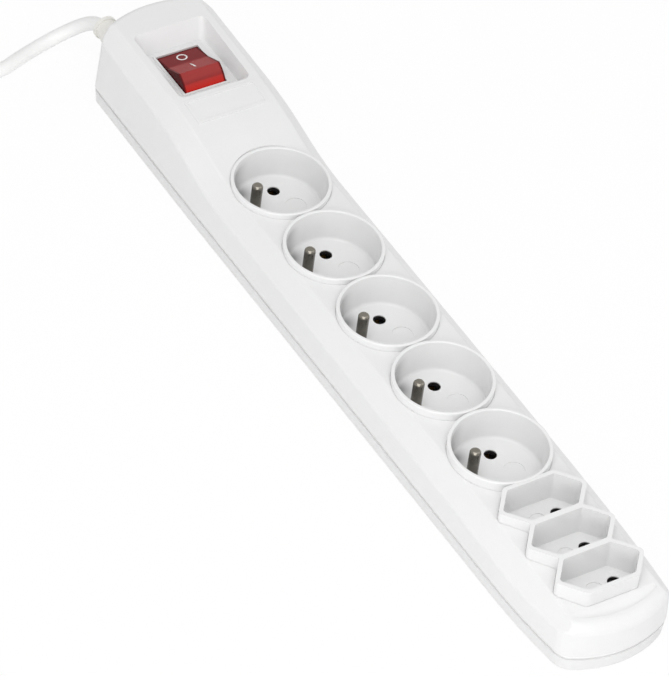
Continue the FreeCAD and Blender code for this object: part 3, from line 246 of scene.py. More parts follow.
# ---- shader building -------------------------------------------------------------------------
class Wire:
    """A socket of a node tree that takes part in arithmetic."""

    def __init__(self, tree, socket):
        self.tree = tree
        self.socket = socket

    def math(self, operation, *others):
        """Result of a Math node on this socket and the others."""
        node = self.tree.nodes.new("ShaderNodeMath")
        node.operation = operation
        for slot, value in zip(node.inputs, (self, *others)):
            plug_in(self.tree, slot, value)
        return Wire(self.tree, node.outputs[0])

    def __add__(self, other):
        return self.math("ADD", other)

    def __sub__(self, other):
        return self.math("SUBTRACT", other)

    def __mul__(self, other):
        return self.math("MULTIPLY", other)

    def __truediv__(self, other):
        return self.math("DIVIDE", other)

    __radd__ = __add__

    def absolute(self):
        """Its size without its sign."""
        return self.math("ABSOLUTE")

    def clamp(self):
        """Held between 0 and 1."""
        return self.math("MAXIMUM", 0.0).math("MINIMUM", 1.0)

    def between(self, low, high):
        """0 at low, 1 at high, straight in between."""
        return ((self - low) / (high - low)).clamp()

    def blend(self, place, offsets):
        """0 to 1 between two offsets from a place."""
        return self.between(place + offsets[0], place + offsets[1])


def plug_in(tree, slot, value):
    """Link a wire to an input, or set the input's value."""
    if isinstance(value, Wire):
        tree.links.new(value.socket, slot)
    elif hasattr(slot.default_value, "__len__") and len(slot.default_value) == 4:
        slot.default_value = tuple(value)[:3] + (1.0,)
    else:
        slot.default_value = value


class Finish:
    """A material under construction: a principled shader and what feeds it."""

    def __init__(self, name, base_color, roughness, **constants):
        self.material = bpy.data.materials.new(name)
        self.material.use_nodes = True
        self.tree = self.material.node_tree
        self.shader = self.tree.nodes["Principled BSDF"]
        self.set("Base Color", base_color)
        self.set("Roughness", roughness)
        for socket, value in constants.items():
            self.set(socket.replace("_", " "), value)
        self.place = self.node("ShaderNodeTexCoord", output="Object")

    def set(self, socket, value):
        """Give one input of the shader a value or a wire."""
        plug_in(self.tree, self.shader.inputs[socket], value)

    def node(self, kind, settings=None, inputs=None, output=0):
        """Add a node, with its settings made before its inputs, and return one output."""
        node = self.tree.nodes.new(kind)
        for name, value in (settings or {}).items():
            setattr(node, name, value)
        for name, value in (inputs or {}).items():
            plug_in(self.tree, node.inputs[name], value)
        return Wire(self.tree, node.outputs[output])

    def axis(self, letter):
        """One object coordinate, in metres."""
        return self.node("ShaderNodeSeparateXYZ", inputs={"Vector": self.place}, output=letter)

    def noise(self, size, detail=2.0, roughness=0.5, stretch=None):
        """Smooth noise from 0 to 1 whose features are about size metres across."""
        place = self.place
        if stretch:
            place = self.node("ShaderNodeMapping", inputs={"Vector": place, "Scale": stretch})
        return self.node("ShaderNodeTexNoise", inputs={
            "Vector": place, "Scale": 1.0 / size, "Detail": detail, "Roughness": roughness})

    def speckle(self, size):
        """Distance to scattered points, as in a fine spark-eroded mould surface."""
        return self.node("ShaderNodeTexVoronoi", inputs={"Vector": self.place, "Scale": 1.0 / size})

    def mix(self, factor, low, high):
        """Colour between two colours."""
        return self.node("ShaderNodeMix", {"data_type": "RGBA"},
                         {0: factor, 6: low, 7: high}, output=2)

    def mottled(self, rgb, factor, dark, light):
        """A colour that varies between a darker and a lighter shade of itself."""
        return self.mix(factor, shaded(rgb, dark), shaded(rgb, light))

    def bump(self, height, depth, strength=1.0, below=None):
        """Surface relief of that depth in metres."""
        inputs = {"Height": height, "Distance": depth, "Strength": strength}
        if below:
            inputs["Normal"] = below
        return self.node("ShaderNodeBump", inputs=inputs)


def shaded(rgb, factor):
    """A colour made lighter or darker."""
    return tuple(min(1.0, value * factor) for value in rgb)


def uneven(value, *parts):
    """A value that noises, with a mean of one half, raise and lower by an amount each."""
    wires = [noise * amount for noise, amount in parts]
    total = wires[0]
    for wire in wires[1:]:
        total = total + wire
    return total + (value - sum(amount for noise, amount in parts) / 2)


def below(floor):
    """Painted shade in the contact holes, which starts just below a socket's floor."""
    def dark(look):
        return look.axis("Z").blend(floor, HOLE_BLEND)
    return dark


def painted_hole_and_pin_shade(floor, finish):
    """Painted shade in the contact holes, with a soft painted shade behind each earth pin."""
    def dark(look):
        pitch, middle = finish.well_pitch, finish.well_middle
        x = look.axis("X").math("WRAP", middle + pitch / 2, middle - pitch / 2)
        x = x - (middle + finish.shade_along)
        y = look.axis("Y") - finish.shade_across
        reach = (x * x + y * y).math("SQRT")
        height = look.axis("Z")
        rim = floor + finish.well_depth
        soft = reach.between(finish.shade_reach, SHADE_FULL)
        shade = soft * soft * height.blend(rim, SHADE_BLEND) * finish.shade_depth
        return height.blend(floor, HOLE_BLEND).math("MAXIMUM", shade)
    return dark


def painted_lip_light(look):
    """Painted light on the tray's lip inside the gap under the cover, where the cover's edge shades
    it.
    """
    return look.axis("Z").between(*LIP_BLEND)


def moulded_plastic(name, rgb, roughness, grain, coat=0.0, dark=None, painted_light=None):
    """Injection-moulded plastic: faint flow marks, fine grain, uneven gloss, and optional painted
    shade and painted light.
    """
    look = Finish(name, rgb, roughness, Coat_Roughness=0.12, IOR=1.49)
    flow = look.noise(size=0.035, detail=3.0, roughness=0.55, stretch=(0.35, 1.0, 1.0))
    dust = look.noise(size=0.004, detail=4.0, roughness=0.6)
    tint = (flow * 0.7 + dust * 0.3).between(low=0.25, high=0.75)
    body = look.mottled(rgb, tint, dark=0.975, light=1.02)
    # Painted shade from the dark mask: the contact holes and the shade behind the pins.
    if dark:
        body = look.mix(dark(look), body, shaded(rgb, PAINTED_SHADE_SHARE))
    # Painted light on the tray's lip in the gap under the cover.
    if painted_light:
        body = look.mix(painted_light(look), body, LIP_PAINTED_LIGHT)
    look.set("Base Color", body)
    look.set("Roughness", uneven(roughness, (flow, 0.05), (dust, 0.03)))
    if coat:
        look.set("Coat Weight", dust.between(low=0.2, high=0.9) * 0.2 + coat)
    swell = look.noise(size=0.018, detail=1.5, roughness=0.5)
    wave = look.bump(swell, depth=0.00006, strength=0.5)
    fine = look.bump(look.speckle(grain), depth=grain * 0.06, strength=0.35, below=wave)
    look.set("Normal", fine)
    return look.material


def plated_metal(name, rgb, roughness, scratch_axis, tip=None):
    """Plated or drawn metal: fine lines along one axis, slight tarnish, an optional painted
    highlight on the tip.
    """
    look = Finish(name, rgb, roughness, Metallic=1.0)
    stretch = tuple(0.06 if letter == scratch_axis else 1.0 for letter in "XYZ")
    lines = look.noise(size=0.00022, detail=3.0, roughness=0.6, stretch=stretch)
    tarnish = look.noise(size=0.0035, detail=4.0, roughness=0.6)
    body = look.mottled(rgb, tarnish.between(low=0.35, high=0.7), dark=0.86, light=1.1)
    if tip is not None:
        # Painted highlight on the tip.
        tip_highlight = look.axis("Z").blend(tip, TIP_BLEND)
        body = look.mix(tip_highlight, body, shaded(rgb, 2.2))
    look.set("Base Color", body)
    look.set("Roughness", roughness + lines * 0.12 + tarnish * 0.08 - 0.08)
    look.set("Normal", look.bump(lines, depth=0.00001, strength=0.5))
    return look.material


def soft_sheath(name, rgb, roughness=0.42):
    """Flexible vinyl: satin, with the slight unevenness of an extrusion."""
    look = Finish(name, rgb, roughness, IOR=1.5)
    cloud = look.noise(size=0.012, detail=3.0, roughness=0.55)
    grain = look.noise(size=0.0006, detail=3.0, roughness=0.6)
    tint = cloud.between(low=0.3, high=0.7)
    look.set("Base Color", look.mottled(rgb, tint, dark=0.965, light=1.02))
    look.set("Roughness", uneven(roughness, (cloud, 0.1), (grain, 0.06)))
    swell = look.noise(size=0.006, detail=2.0, roughness=0.5)
    wave = look.bump(swell, depth=0.00008, strength=0.4)
    look.set("Normal", look.bump(grain, depth=0.00002, strength=0.5, below=wave))
    return look.material


def rocker_plastic(finish):
    """Clear red plastic in painted light: painted shade where one looks down into it, a painted
    glow at its curved ends, a painted sheen on its raised half and painted shade at its edges.
    """
    look = Finish("rocker_red_clear", finish.rocker_red, roughness=0.2, Specular_IOR_Level=0.06)
    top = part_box("rocker")[1][2]
    x, y, z = look.axis("X"), look.axis("Y").absolute(), look.axis("Z")
    facing = look.node("ShaderNodeTexCoord", output="Normal")
    upward = look.node("ShaderNodeSeparateXYZ", inputs={"Vector": facing}, output="Z")
    sideways = look.node("ShaderNodeSeparateXYZ", inputs={"Vector": facing}, output="Y").absolute()
    # Faces that look up take the top's painted shade, the others the ends' painted glow.
    level = upward.between(low=0.55, high=0.8)
    cloud = look.noise(size=0.004, detail=3.0, roughness=0.6)
    # Top: painted shade on the low half, a painted sheen on the raised half.
    along = (x.blend(finish.rocker_valley, TOP_BLEND) + cloud * 0.3 - 0.15).clamp()
    painted_top = look.mix(along, finish.rocker_top, finish.rocker_pale)
    # Ends: a streaked painted glow low on the lit end, with painted shade at its foot and on the
    # sides.
    painted_glow_mask = z.blend(top, GLOW_BLEND)
    streak = look.noise(size=0.0035, detail=3.0, roughness=0.6, stretch=(1.0, 0.3, 1.6))
    painted_glow = (painted_glow_mask + streak.between(low=0.45, high=0.7) * 0.4).clamp()
    painted_end_light_and_shade = look.mix(painted_glow, finish.rocker_deep, finish.rocker_red)
    painted_end_light_and_shade = look.mix(z.blend(top, FOOT_BLEND), painted_end_light_and_shade, finish.rocker_edge)
    ends = look.mix(sideways.between(low=0.35, high=0.8), painted_end_light_and_shade, finish.rocker_deep)
    whole = look.mix(level, ends, painted_top)
    # Painted shade along the long edges and at the far end.
    rim = y.blend(finish.rocker_half, EDGE_BLEND) * 0.85
    far = x.blend(finish.rocker_far, FAR_BLEND) * 0.8
    look.set("Base Color", look.mix(rim.math("MAXIMUM", far), whole, finish.rocker_edge))
    look.set("Roughness", cloud * 0.08 + 0.15)
    ripple = look.noise(size=0.003, detail=2.0, roughness=0.5)
    look.set("Normal", look.bump(ripple, depth=0.00003, strength=0.4))
    return look.material


def lamp_glass():
    """Thin glass of the glow lamp, with a warm tint."""
    look = Finish("lamp_glass", (0.9, 0.55, 0.4), roughness=0.08, IOR=1.5, Transmission_Weight=0.6)
    cloud = look.noise(size=0.002, detail=2.0, roughness=0.5)
    look.set("Base Color", look.mix(cloud, (0.85, 0.45, 0.3), (0.95, 0.7, 0.55)))
    look.set("Roughness", cloud * 0.08 + 0.05)
    return look.material


def striped_sheath():
    """Earth core: green with yellow stripes."""
    look = Finish("core_green_yellow", (0.1, 0.4, 0.05), roughness=0.4)
    turn = look.axis("Y") / (look.axis("Z").math("ABSOLUTE") + 0.0001)
    stripe = (turn * 1.5).math("SINE").between(low=-0.05, high=0.05)
    cloud = look.noise(size=0.003, detail=2.0, roughness=0.5)
    look.set("Base Color", look.mix(stripe, CORE_GREEN, CORE_YELLOW))
    look.set("Roughness", cloud * 0.1 + 0.35)
    return look.material


def printed_white():
    """Printed marks: thin paint with a faint mottle."""
    look = Finish("print_white", (0.86, 0.84, 0.83), roughness=0.45)
    mottle = look.noise(size=0.0007, detail=3.0, roughness=0.6)
    look.set("Base Color", look.mix(mottle, (0.80, 0.76, 0.75), (0.9, 0.89, 0.88)))
    look.set("Roughness", mottle * 0.15 + 0.38)
    return look.material


# ---- mesh helpers ----------------------------------------------------------------------------
def mesh_object(name, build, material):
    """New object whose mesh a function fills through bmesh."""
    mesh = bpy.data.meshes.new(name)
    shape = bmesh.new()
    build(shape)
    bmesh.ops.recalc_face_normals(shape, faces=shape.faces)
    shape.to_mesh(mesh)
    shape.free()
    return link_mesh(name, mesh, material)


def link_mesh(name, mesh, material):
    """Put a mesh in the scene as an object at the origin."""
    piece = bpy.data.objects.new(name, mesh)
    bpy.context.scene.collection.objects.link(piece)
    mesh.materials.clear()
    mesh.materials.append(material)
    for face in mesh.polygons:
        face.use_smooth = True
    return piece


def set_material(node, material):
    """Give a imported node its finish."""
    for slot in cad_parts[node].material_slots:
        slot.material = material


def settings(context):
    """The strip's settings of the scene."""
    return context.scene.power_strip


# ---- pieces ----------------------------------------------------------------------------------
def smooth_step(value):
    """0 to 1 with gentle ends."""
    held = min(1.0, max(0.0, value))
    return held * held * (3.0 - 2.0 * held)


def coil_centre(lead):
    """Centre of the coil, the angle of its first point and the radius of its outer turn."""
    before, last = Vector(LEAD_ROUTE[-2]), Vector(LEAD_ROUTE[-1])
    heading = (last - before).normalized()
    right = Vector((heading.y, -heading.x, 0.0))
    outer = lead.coil_radius + lead.diameter
    centre = last + heading * lead.coil_stub + right * outer
    return centre, math.atan2(-right.y, -right.x), outer


def coil_point(lead, turn):
    """Point of the coil after so many turns: inwards on the floor, then back out on top."""
    centre, first_angle, outer = coil_centre(lead)
    whole, part = divmod(turn, 1.0)
    step, last = lead.diameter, COLUMNS - 1
    if turn < COLUMNS:
        inwards = smooth_step((part - STEP_IN_AT) / STEP_IN_TAKES) if whole < last else 0.0
        rise = smooth_step((part - CLIMB_AT) / CLIMB_TAKES) if whole == last else 0.0
        radius = outer - step * (whole + inwards)
    else:
        outwards = whole - COLUMNS + smooth_step((part - STEP_OUT_AT) / STEP_OUT_TAKES)
        rise = 1.0
        radius = outer - step * (last - min(last, outwards))
    angle = first_angle - 2.0 * math.pi * turn
    height = step / 2.0 + step * rise
    return centre + Vector((radius * math.cos(angle), radius * math.sin(angle), 0.0)), height


def lead_points(lead):
    """Control points of the whole lead, from inside the bush to the plug."""
    points = [Vector(point) for point in LEAD_ROUTE]
    first_angle = coil_centre(lead)[1]
    steps = round(lead.turns * lead.points_per_turn)
    for i in range(steps + 1):
        place, height = coil_point(lead, lead.turns * i / steps)
        points.append(Vector((place.x, place.y, height)))
    leaving = first_angle - 2.0 * math.pi * lead.turns
    heading = Vector((math.sin(leaving), -math.cos(leaving), 0.0))
    for share in STUB_SHARES:
        lift = lead.diameter * (STUB_LIFT - share)
        points.append(place + heading * lead.coil_stub * share + Vector((0.0, 0.0, lift)))
    points += [Vector(corner) for corner in TAIL_ROUTE]
    points[-1] = points[-1] + plug_axis()[1] * RELIEF_OVERLAP
    return points


class STRIP_OT_lead(bpy.types.Operator):
    """Makes the mains lead with its coil."""
    bl_idname = "strip.lead"
    bl_label = "Mains Lead"

    def execute(self, context):
        strip = settings(context)
        lead = strip.lead
        curve = bpy.data.curves.new("lead_sheath", "CURVE")
        curve.dimensions = "3D"
        curve.bevel_depth = lead.diameter / 2
        curve.bevel_resolution = 6
        curve.use_fill_caps = True
        curve.resolution_u = 6
        spline = curve.splines.new("NURBS")
        points = lead_points(lead)
        spline.points.add(len(points) - 1)
        for slot, place in zip(spline.points, points):
            slot.co = (place.x, place.y, place.z, 1.0)
        spline.order_u = 3
        spline.use_endpoint_u = True
        curve.materials.append(soft_sheath("sheath_white", strip.finish.sheath_white))
        piece = bpy.data.objects.new("lead_sheath", curve)
        context.scene.collection.objects.link(piece)
        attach(piece, CASE)
        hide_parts("cord", "cord_coil", "cord_tail")
        others = [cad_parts[name] for name in ("plug_body", "plug_prongs", "coil_tie",
                                                    "cord_bush", "cord_sheath_end")]
        others.append(bpy.data.objects["plug_relief_ribs"])
        return {"FINISHED"}


class STRIP_OT_marks(bpy.types.Operator):
    """Prints the off ring and the on bar on the rocker."""
    bl_idname = "strip.marks"
    bl_label = "Switch Marks"

    def execute(self, context):
        strip = settings(context)
        marks = strip.marks
        paint = printed_white()
        ring = mesh_object("mark_off", lambda shape: flat_ring(shape, marks), paint)
        bar = mesh_object("mark_on", lambda shape: flat_bar(shape, marks), paint)
        for piece, side in ((ring, -1), (bar, 1)):
            placement = top_frame(side, marks)
            piece.data.transform(placement)
            lay_on_rocker(piece, placement, marks.thickness)
            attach(piece, ROCKER)
        return {"FINISHED"}


def rocker_top_points():
    """Far ridge, middle valley and near ridge of the rocker's top, as (x, z) at rest."""
    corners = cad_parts["rocker"].data.vertices
    points = {(round(v.co.x, 5), round(v.co.z, 5)) for v in corners}
    near = max(points, key=lambda p: p[1])
    far_ridge = max((p for p in points if p[0] < near[0] - RIDGES_APART), key=lambda p: p[1])
    chord = (near[0] - far_ridge[0], near[1] - far_ridge[1])
    span = math.hypot(*chord)
    along = (chord[0] / span, chord[1] / span)
    middle = ((near[0] + far_ridge[0]) / 2, (near[1] + far_ridge[1]) / 2)
    valley = (middle[0] + along[1] * ROCKER_DISH, middle[1] - along[0] * ROCKER_DISH)
    return far_ridge, valley, near


def top_frame(side, marks):
    """Placement on one half of the rocker's top: X along the half, Z out of it."""
    far_ridge, valley, near = rocker_top_points()
    ridge = near if side > 0 else far_ridge
    run = Vector((ridge[0] - valley[0], 0.0, ridge[1] - valley[1]))
    along = run.normalized() * side
    across = Vector((0.0, 1.0, 0.0))
    out = along.cross(across)
    place = marks.bar_place if side > 0 else marks.ring_place
    centre = Vector((valley[0], marks.side_shift, valley[1])) + along * side * place
    turned = Matrix((along, across, out)).transposed().to_4x4()
    return Matrix.Translation(centre) @ turned


def lay_on_rocker(piece, placement, thickness):
    """Drop a mark onto the rocker's own surface, keeping its thickness."""
    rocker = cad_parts["rocker"].data
    tree = BVHTree.FromPolygons([v.co for v in rocker.vertices],
                                [f.vertices for f in rocker.polygons])
    out = placement.to_3x3() @ Vector((0.0, 0.0, 1.0))
    foot = placement.translation
    for corner in piece.data.vertices:
        height = (corner.co - foot).dot(out)
        start = corner.co + out * (RAY_START - height)
        hit = tree.ray_cast(start, -out, 2 * RAY_START)[0]
        if hit is None:
            raise RuntimeError("a switch mark misses the rocker")
        corner.co = hit + out * (height + thickness * PRINT_LIFT)


def flat_ring(shape, marks):
    """Thin ring lying in the XY plane."""
    inner = marks.ring_radius - marks.line_width / 2
    outer = marks.ring_radius + marks.line_width / 2
    loops = []
    for radius, height in ((inner, -marks.thickness), (inner, marks.thickness),
                           (outer, marks.thickness), (outer, -marks.thickness)):
        ring = []
        for i in range(RING_STEPS):
            angle = 2 * math.pi * i / RING_STEPS
            corner = (radius * math.cos(angle), radius * math.sin(angle), height)
            ring.append(shape.verts.new(corner))
        loops.append(ring)
    for a, b in zip(loops, loops[1:] + loops[:1]):
        for i in range(RING_STEPS):
            j = (i + 1) % RING_STEPS
            shape.faces.new((a[i], a[j], b[j], b[i]))


def flat_bar(shape, marks):
    """Thin bar lying in the XY plane, along X."""
    bmesh.ops.create_cube(shape, size=1.0)
    bmesh.ops.scale(shape, vec=(marks.bar_length, marks.line_width, 2 * marks.thickness),
                    verts=shape.verts)
    upright = [e for e in shape.edges if abs(e.verts[0].co.z - e.verts[1].co.z) > marks.thickness]
    bmesh.ops.bevel(shape, geom=upright, offset=marks.line_width * BAR_ROUNDING, segments=4,
                    affect="EDGES")


def rib_tree():
    """Geometry Nodes tree: rings repeated along a cone, with named inputs."""
    tree = bpy.data.node_groups.new("strain_relief_ribs", "GeometryNodeTree")
    face = tree.interface
    face.new_socket("Geometry", in_out="OUTPUT", socket_type="NodeSocketGeometry")
    for name, kind in (("Count", "NodeSocketInt"), ("Length", "NodeSocketFloat"),
                       ("Tip Radius", "NodeSocketFloat"), ("Root Radius", "NodeSocketFloat"),
                       ("Rib Thickness", "NodeSocketFloat"), ("Material", "NodeSocketMaterial")):
        face.new_socket(name, in_out="INPUT", socket_type=kind)
    nodes, links = tree.nodes, tree.links
    given = nodes.new("NodeGroupInput")
    result = nodes.new("NodeGroupOutput")

    def made(kind, **values):
        node = nodes.new(kind)
        for name, value in values.items():
            setattr(node, name, value)
        return node

    line = made("GeometryNodeMeshLine", mode="END_POINTS", count_mode="TOTAL")
    links.new(given.outputs["Count"], line.inputs["Count"])
    end = made("ShaderNodeCombineXYZ")
    links.new(given.outputs["Length"], end.inputs["X"])
    links.new(end.outputs[0], line.inputs["Offset"])
    circle = made("GeometryNodeCurvePrimitiveCircle", mode="RADIUS")
    circle.inputs["Resolution"].default_value = 40
    circle.inputs["Radius"].default_value = 1.0
    turned = made("GeometryNodeTransform")
    turned.inputs["Rotation"].default_value = (0.0, math.pi / 2, 0.0)
    links.new(circle.outputs[0], turned.inputs["Geometry"])
    spread = made("GeometryNodeInstanceOnPoints")
    links.new(line.outputs[0], spread.inputs["Points"])
    links.new(turned.outputs[0], spread.inputs["Instance"])
    place = made("GeometryNodeInputPosition")
    parts = made("ShaderNodeSeparateXYZ")
    links.new(place.outputs[0], parts.inputs[0])
    widen = made("ShaderNodeMapRange")
    links.new(parts.outputs["X"], widen.inputs["Value"])
    links.new(given.outputs["Length"], widen.inputs["From Max"])
    links.new(given.outputs["Tip Radius"], widen.inputs["To Min"])
    links.new(given.outputs["Root Radius"], widen.inputs["To Max"])
    links.new(widen.outputs[0], spread.inputs["Scale"])
    real = made("GeometryNodeRealizeInstances")
    links.new(spread.outputs[0], real.inputs[0])
    section = made("GeometryNodeCurvePrimitiveCircle", mode="RADIUS")
    section.inputs["Resolution"].default_value = 10
    links.new(given.outputs["Rib Thickness"], section.inputs["Radius"])
    sweep = made("GeometryNodeCurveToMesh")
    links.new(real.outputs[0], sweep.inputs["Curve"])
    links.new(section.outputs[0], sweep.inputs["Profile Curve"])
    smooth = made("GeometryNodeSetShadeSmooth")
    links.new(sweep.outputs[0], smooth.inputs[0])
    paint = made("GeometryNodeSetMaterial")
    links.new(smooth.outputs[0], paint.inputs["Geometry"])
    links.new(given.outputs["Material"], paint.inputs["Material"])
    links.new(paint.outputs[0], result.inputs[0])
    return tree


def ribs_on_cone(name, tree, values, placement, material):
    """Run the rib tree and keep its result as a plain mesh at its place."""
    holder = bpy.data.objects.new(name + "_maker", bpy.data.meshes.new(name + "_maker"))
    bpy.context.scene.collection.objects.link(holder)
    modifier = holder.modifiers.new("ribs", "NODES")
    modifier.node_group = tree
    keys = {item.name: item.identifier for item in tree.interface.items_tree
            if item.in_out == "INPUT"}
    for key, value in values.items():
        modifier[keys[key]] = value
    modifier[keys["Material"]] = material
    graph = bpy.context.evaluated_depsgraph_get()
    mesh = bpy.data.meshes.new_from_object(holder.evaluated_get(graph))
    bpy.data.objects.remove(holder)
    mesh.name = name
    mesh.transform(placement)
    return link_mesh(name, mesh, material)


class STRIP_OT_ribs(bpy.types.Operator):
    """Moulds the ribs of the plug's strain relief."""
    bl_idname = "strip.ribs"
    bl_label = "Strain Relief Ribs"

    def execute(self, context):
        strip = settings(context)
        ribs = strip.ribs
        material = moulded_plastic("plug_white", strip.finish.sheath_white, roughness=0.36,
                                   grain=0.0005)
        end, axis = plug_axis()
        values = {"Count": ribs.count, "Length": ribs.reach, "Tip Radius": ribs.tip_radius,
                  "Root Radius": ribs.root_radius, "Rib Thickness": ribs.thickness / 2}
        turned = axis.to_track_quat("X", "Z").to_matrix().to_4x4()
        placement = Matrix.Translation(end + axis * ribs.first) @ turned
        piece = ribs_on_cone("plug_relief_ribs", rib_tree(), values, placement, material)
        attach(piece, CASE)
        return {"FINISHED"}


def plug_axis():
    """Tail end of the plug's strain relief and the direction in which the plug points."""
    level = (Vector(TAIL_ROUTE[-1]) - Vector(TAIL_ROUTE[-2])).normalized()
    return Vector(TAIL_ROUTE[-1]), level


class STRIP_OT_finishes(bpy.types.Operator):
    """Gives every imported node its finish."""
    bl_idname = "strip.finishes"
    bl_label = "Finishes"

    def execute(self, context):
        finish = settings(context).finish
        cover = moulded_plastic("cover_white", finish.case_white, roughness=0.34, grain=0.00045)
        # The tray's lip is painted lighter: painted light in the gap under the cover.
        tray = moulded_plastic("tray_white", shaded(finish.case_white, 0.97), roughness=0.40,
                               grain=0.00045, painted_light=painted_lip_light)
        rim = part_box("flat_socket_block")[1][2]
        gloss = {"roughness": 0.26, "grain": 0.0006, "coat": 0.08}
        # Painted shade in the contact holes of both socket kinds, and behind the round sockets'
        # earth pins.
        socket = moulded_plastic("socket_white", finish.socket_white, **gloss,
                                 dark=painted_hole_and_pin_shade(rim - finish.well_depth, finish))
        flat = moulded_plastic("flat_socket_white", finish.socket_white, **gloss,
                               dark=below(rim - finish.flat_depth))
        bezel = moulded_plastic("bezel_white", shaded(finish.case_white, 0.97), roughness=0.38,
                                grain=0.0004)
        clamp = moulded_plastic("clamp_white", shaded(finish.case_white, 0.92), roughness=0.5,
                                grain=0.0005)
        plug = moulded_plastic("plug_body_white", finish.sheath_white, roughness=0.36,
                               grain=0.0005)
        pins = next(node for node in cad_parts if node.startswith("earth_pin"))
        # The pins take a darker copy of the nickel as painted shade, with a painted highlight at
        # the tip.
        nickel = plated_metal("nickel_plate", shaded(finish.nickel, 0.62), roughness=0.20,
                              scratch_axis="Z", tip=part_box(pins)[1][2])
        prong = plated_metal("prong_plate", shaded(finish.nickel, 2.2), roughness=0.24,
                             scratch_axis="Y")
        brass = plated_metal("brass_strip", finish.brass, roughness=0.32, scratch_axis="X")
        steel = plated_metal("screw_steel", finish.steel, roughness=0.34, scratch_axis="Z")
        sheath = soft_sheath("sheath_end_white", finish.sheath_white)
        bush = soft_sheath("bush_cream", finish.bush_cream, roughness=0.38)
        tie = soft_sheath("tie_white", shaded(finish.sheath_white, 0.95), roughness=0.36)
        pusher = soft_sheath("pusher_grey", PUSHER_GREY, roughness=0.4)
        brown = soft_sheath("core_brown", CORE_BROWN, roughness=0.38)
        blue = soft_sheath("core_blue", CORE_BLUE, roughness=0.38)
        named = {
            "top_cover": cover, "base_cover": tray, "flat_socket_block": flat,
            "switch_housing": bezel, "cord_clamp": clamp, "plug_body": plug,
            "plug_prongs": prong, "case_screws": steel, "clamp_screws": steel,
            "plunger_springs": steel, "cord_sheath_end": sheath, "cord_bush": bush,
            "coil_tie": tie, "switch_plungers": pusher, "neon_lamp": lamp_glass(),
            "rocker": rocker_plastic(finish), "earth_wire": striped_sheath(),
            "contact_arms": brass,
        }
        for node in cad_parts:
            if node in named:
                set_material(node, named[node])
            elif node.startswith("socket_cup"):
                set_material(node, socket)
            elif node.startswith("earth_pin"):
                set_material(node, nickel)
            elif node.endswith("wire"):
                set_material(node, brown if node.startswith("live") else blue)
            elif node.endswith(("_bar", "_tab")) or "_clip_" in node:
                set_material(node, brass)
        return {"FINISHED"}


# ---- stage -----------------------------------------------------------------------------------
def stage_material():
    """Plain floor that a camera, a gloss or a clear piece sees as white, with a soft shadow."""
    material = bpy.data.materials.new("stage_white")
    material.use_nodes = True
    tree = material.node_tree
    tree.nodes.clear()
    output = tree.nodes.new("ShaderNodeOutputMaterial")
    mixer = tree.nodes.new("ShaderNodeMixShader")
    diffuse = tree.nodes.new("ShaderNodeBsdfDiffuse")
    diffuse.inputs["Color"].default_value = FLOOR_WHITE
    white = tree.nodes.new("ShaderNodeEmission")
    white.inputs["Strength"].default_value = 1.0
    path = tree.nodes.new("ShaderNodeLightPath")
    seen = Wire(tree, path.outputs["Is Camera Ray"]) + Wire(tree, path.outputs["Is Glossy Ray"])
    seen = (seen + Wire(tree, path.outputs["Is Transmission Ray"])).clamp() * FLOOR_SEEN_WHITE
    tree.links.new(seen.socket, mixer.inputs[0])
    tree.links.new(diffuse.outputs[0], mixer.inputs[1])
    tree.links.new(white.outputs[0], mixer.inputs[2])
    tree.links.new(mixer.outputs[0], output.inputs["Surface"])
    return material


def lamp(name, place, size, power):
    """Large soft square lamp that points at the origin and that the camera doesn't see."""
    light = bpy.data.lights.new(name, "AREA")
    light.shape = "SQUARE"
    light.size = size
    light.energy = power
    holder = bpy.data.objects.new(name, light)
    bpy.context.scene.collection.objects.link(holder)
    holder.location = place
    holder.visible_camera = False
    holder.rotation_euler = (-Vector(place)).to_track_quat("-Z", "Y").to_euler()


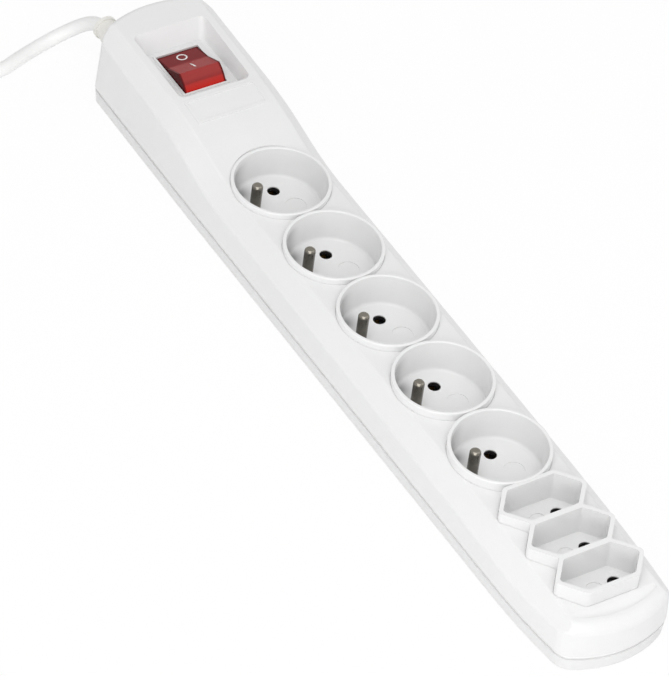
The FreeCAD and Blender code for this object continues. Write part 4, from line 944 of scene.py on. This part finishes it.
class STRIP_OT_stage(bpy.types.Operator):
    """Makes the floor, the lights and the camera."""
    bl_idname = "strip.stage"
    bl_label = "Stage"

    def execute(self, context):
        stage = settings(context).stage
        floor = mesh_object("floor", lambda shape: bmesh.ops.create_grid(
            shape, x_segments=2, y_segments=2, size=FLOOR_REACH), stage_material())
        floor.data.transform(Matrix.Translation((0.0, 0.0, -FLOOR_DROP)))
        self.light(context, stage)
        self.camera(context, stage)
        return {"FINISHED"}

    def light(self, context, stage):
        """Even world light with three large lamps."""
        world = bpy.data.worlds.new("studio")
        context.scene.world = world
        world.use_nodes = True
        tree = world.node_tree
        tree.nodes.clear()
        output = tree.nodes.new("ShaderNodeOutputWorld")
        even = tree.nodes.new("ShaderNodeBackground")
        even.inputs["Strength"].default_value = stage.world_light
        white = tree.nodes.new("ShaderNodeBackground")
        white.inputs["Strength"].default_value = 1.0
        for node in (even, white):
            node.inputs["Color"].default_value = (1.0, 1.0, 1.0, 1.0)
        mixer = tree.nodes.new("ShaderNodeMixShader")
        path = tree.nodes.new("ShaderNodeLightPath")
        tree.links.new(path.outputs["Is Camera Ray"], mixer.inputs[0])
        tree.links.new(even.outputs[0], mixer.inputs[1])
        tree.links.new(white.outputs[0], mixer.inputs[2])
        tree.links.new(mixer.outputs[0], output.inputs["Surface"])
        for name, place, size, power in LAMPS:
            lamp(name, place, size, getattr(stage, power))

    def camera(self, context, stage):
        """Camera at its angle, with its roll."""
        azimuth, elevation = stage.camera_azimuth, stage.camera_elevation
        back = Vector((math.sin(azimuth) * math.cos(elevation),
                       -math.cos(azimuth) * math.cos(elevation), math.sin(elevation)))
        right = Vector((math.cos(azimuth), math.sin(azimuth), 0.0))
        up = back.cross(right)
        cosine, sine = math.cos(stage.camera_roll), math.sin(stage.camera_roll)
        rolled_right = right * cosine + up * sine
        rolled_up = up * cosine - right * sine
        place = Vector(stage.camera_target) + back * stage.camera_distance
        axes = Matrix((rolled_right, rolled_up, back)).transposed().to_4x4()
        camera = bpy.data.cameras.new("camera")
        camera.lens = stage.focal_length
        camera.sensor_width = 36.0
        camera.clip_end = 50.0
        holder = bpy.data.objects.new("camera", camera)
        context.scene.collection.objects.link(holder)
        holder.matrix_world = Matrix.Translation(place) @ axes
        context.scene.camera = holder
        context.scene.view_settings.view_transform = "Standard"


class STRIP_PT_panel(bpy.types.Panel):
    """Lists the pieces in the sidebar."""
    bl_idname = "STRIP_PT_panel"
    bl_label = "Power Strip"
    bl_space_type = "VIEW_3D"
    bl_region_type = "UI"
    bl_category = "Power Strip"

    def draw(self, context):
        for operator in OPERATORS:
            self.layout.operator(operator.bl_idname)


OPERATORS = (STRIP_OT_stage, STRIP_OT_finishes, STRIP_OT_ribs, STRIP_OT_lead, STRIP_OT_marks)
CLASSES = (LeadSettings, MarkSettings, RibSettings, FinishSettings, StageSettings,
           StripSettings) + OPERATORS + (STRIP_PT_panel,)


def register():
    """Register the classes and the settings."""
    for each in CLASSES:
        bpy.utils.register_class(each)
    bpy.types.Scene.power_strip = bpy.props.PointerProperty(type=StripSettings)


def unregister():
    """Take the settings and the classes away."""
    del bpy.types.Scene.power_strip
    for each in reversed(CLASSES):
        bpy.utils.unregister_class(each)


def main():
    """Dress the strip."""
    register()
    bpy.ops.strip.stage()
    bpy.ops.strip.finishes()
    bpy.ops.strip.ribs()
    bpy.ops.strip.lead()
    bpy.ops.strip.marks()


if __name__ == "__main__":
    main()
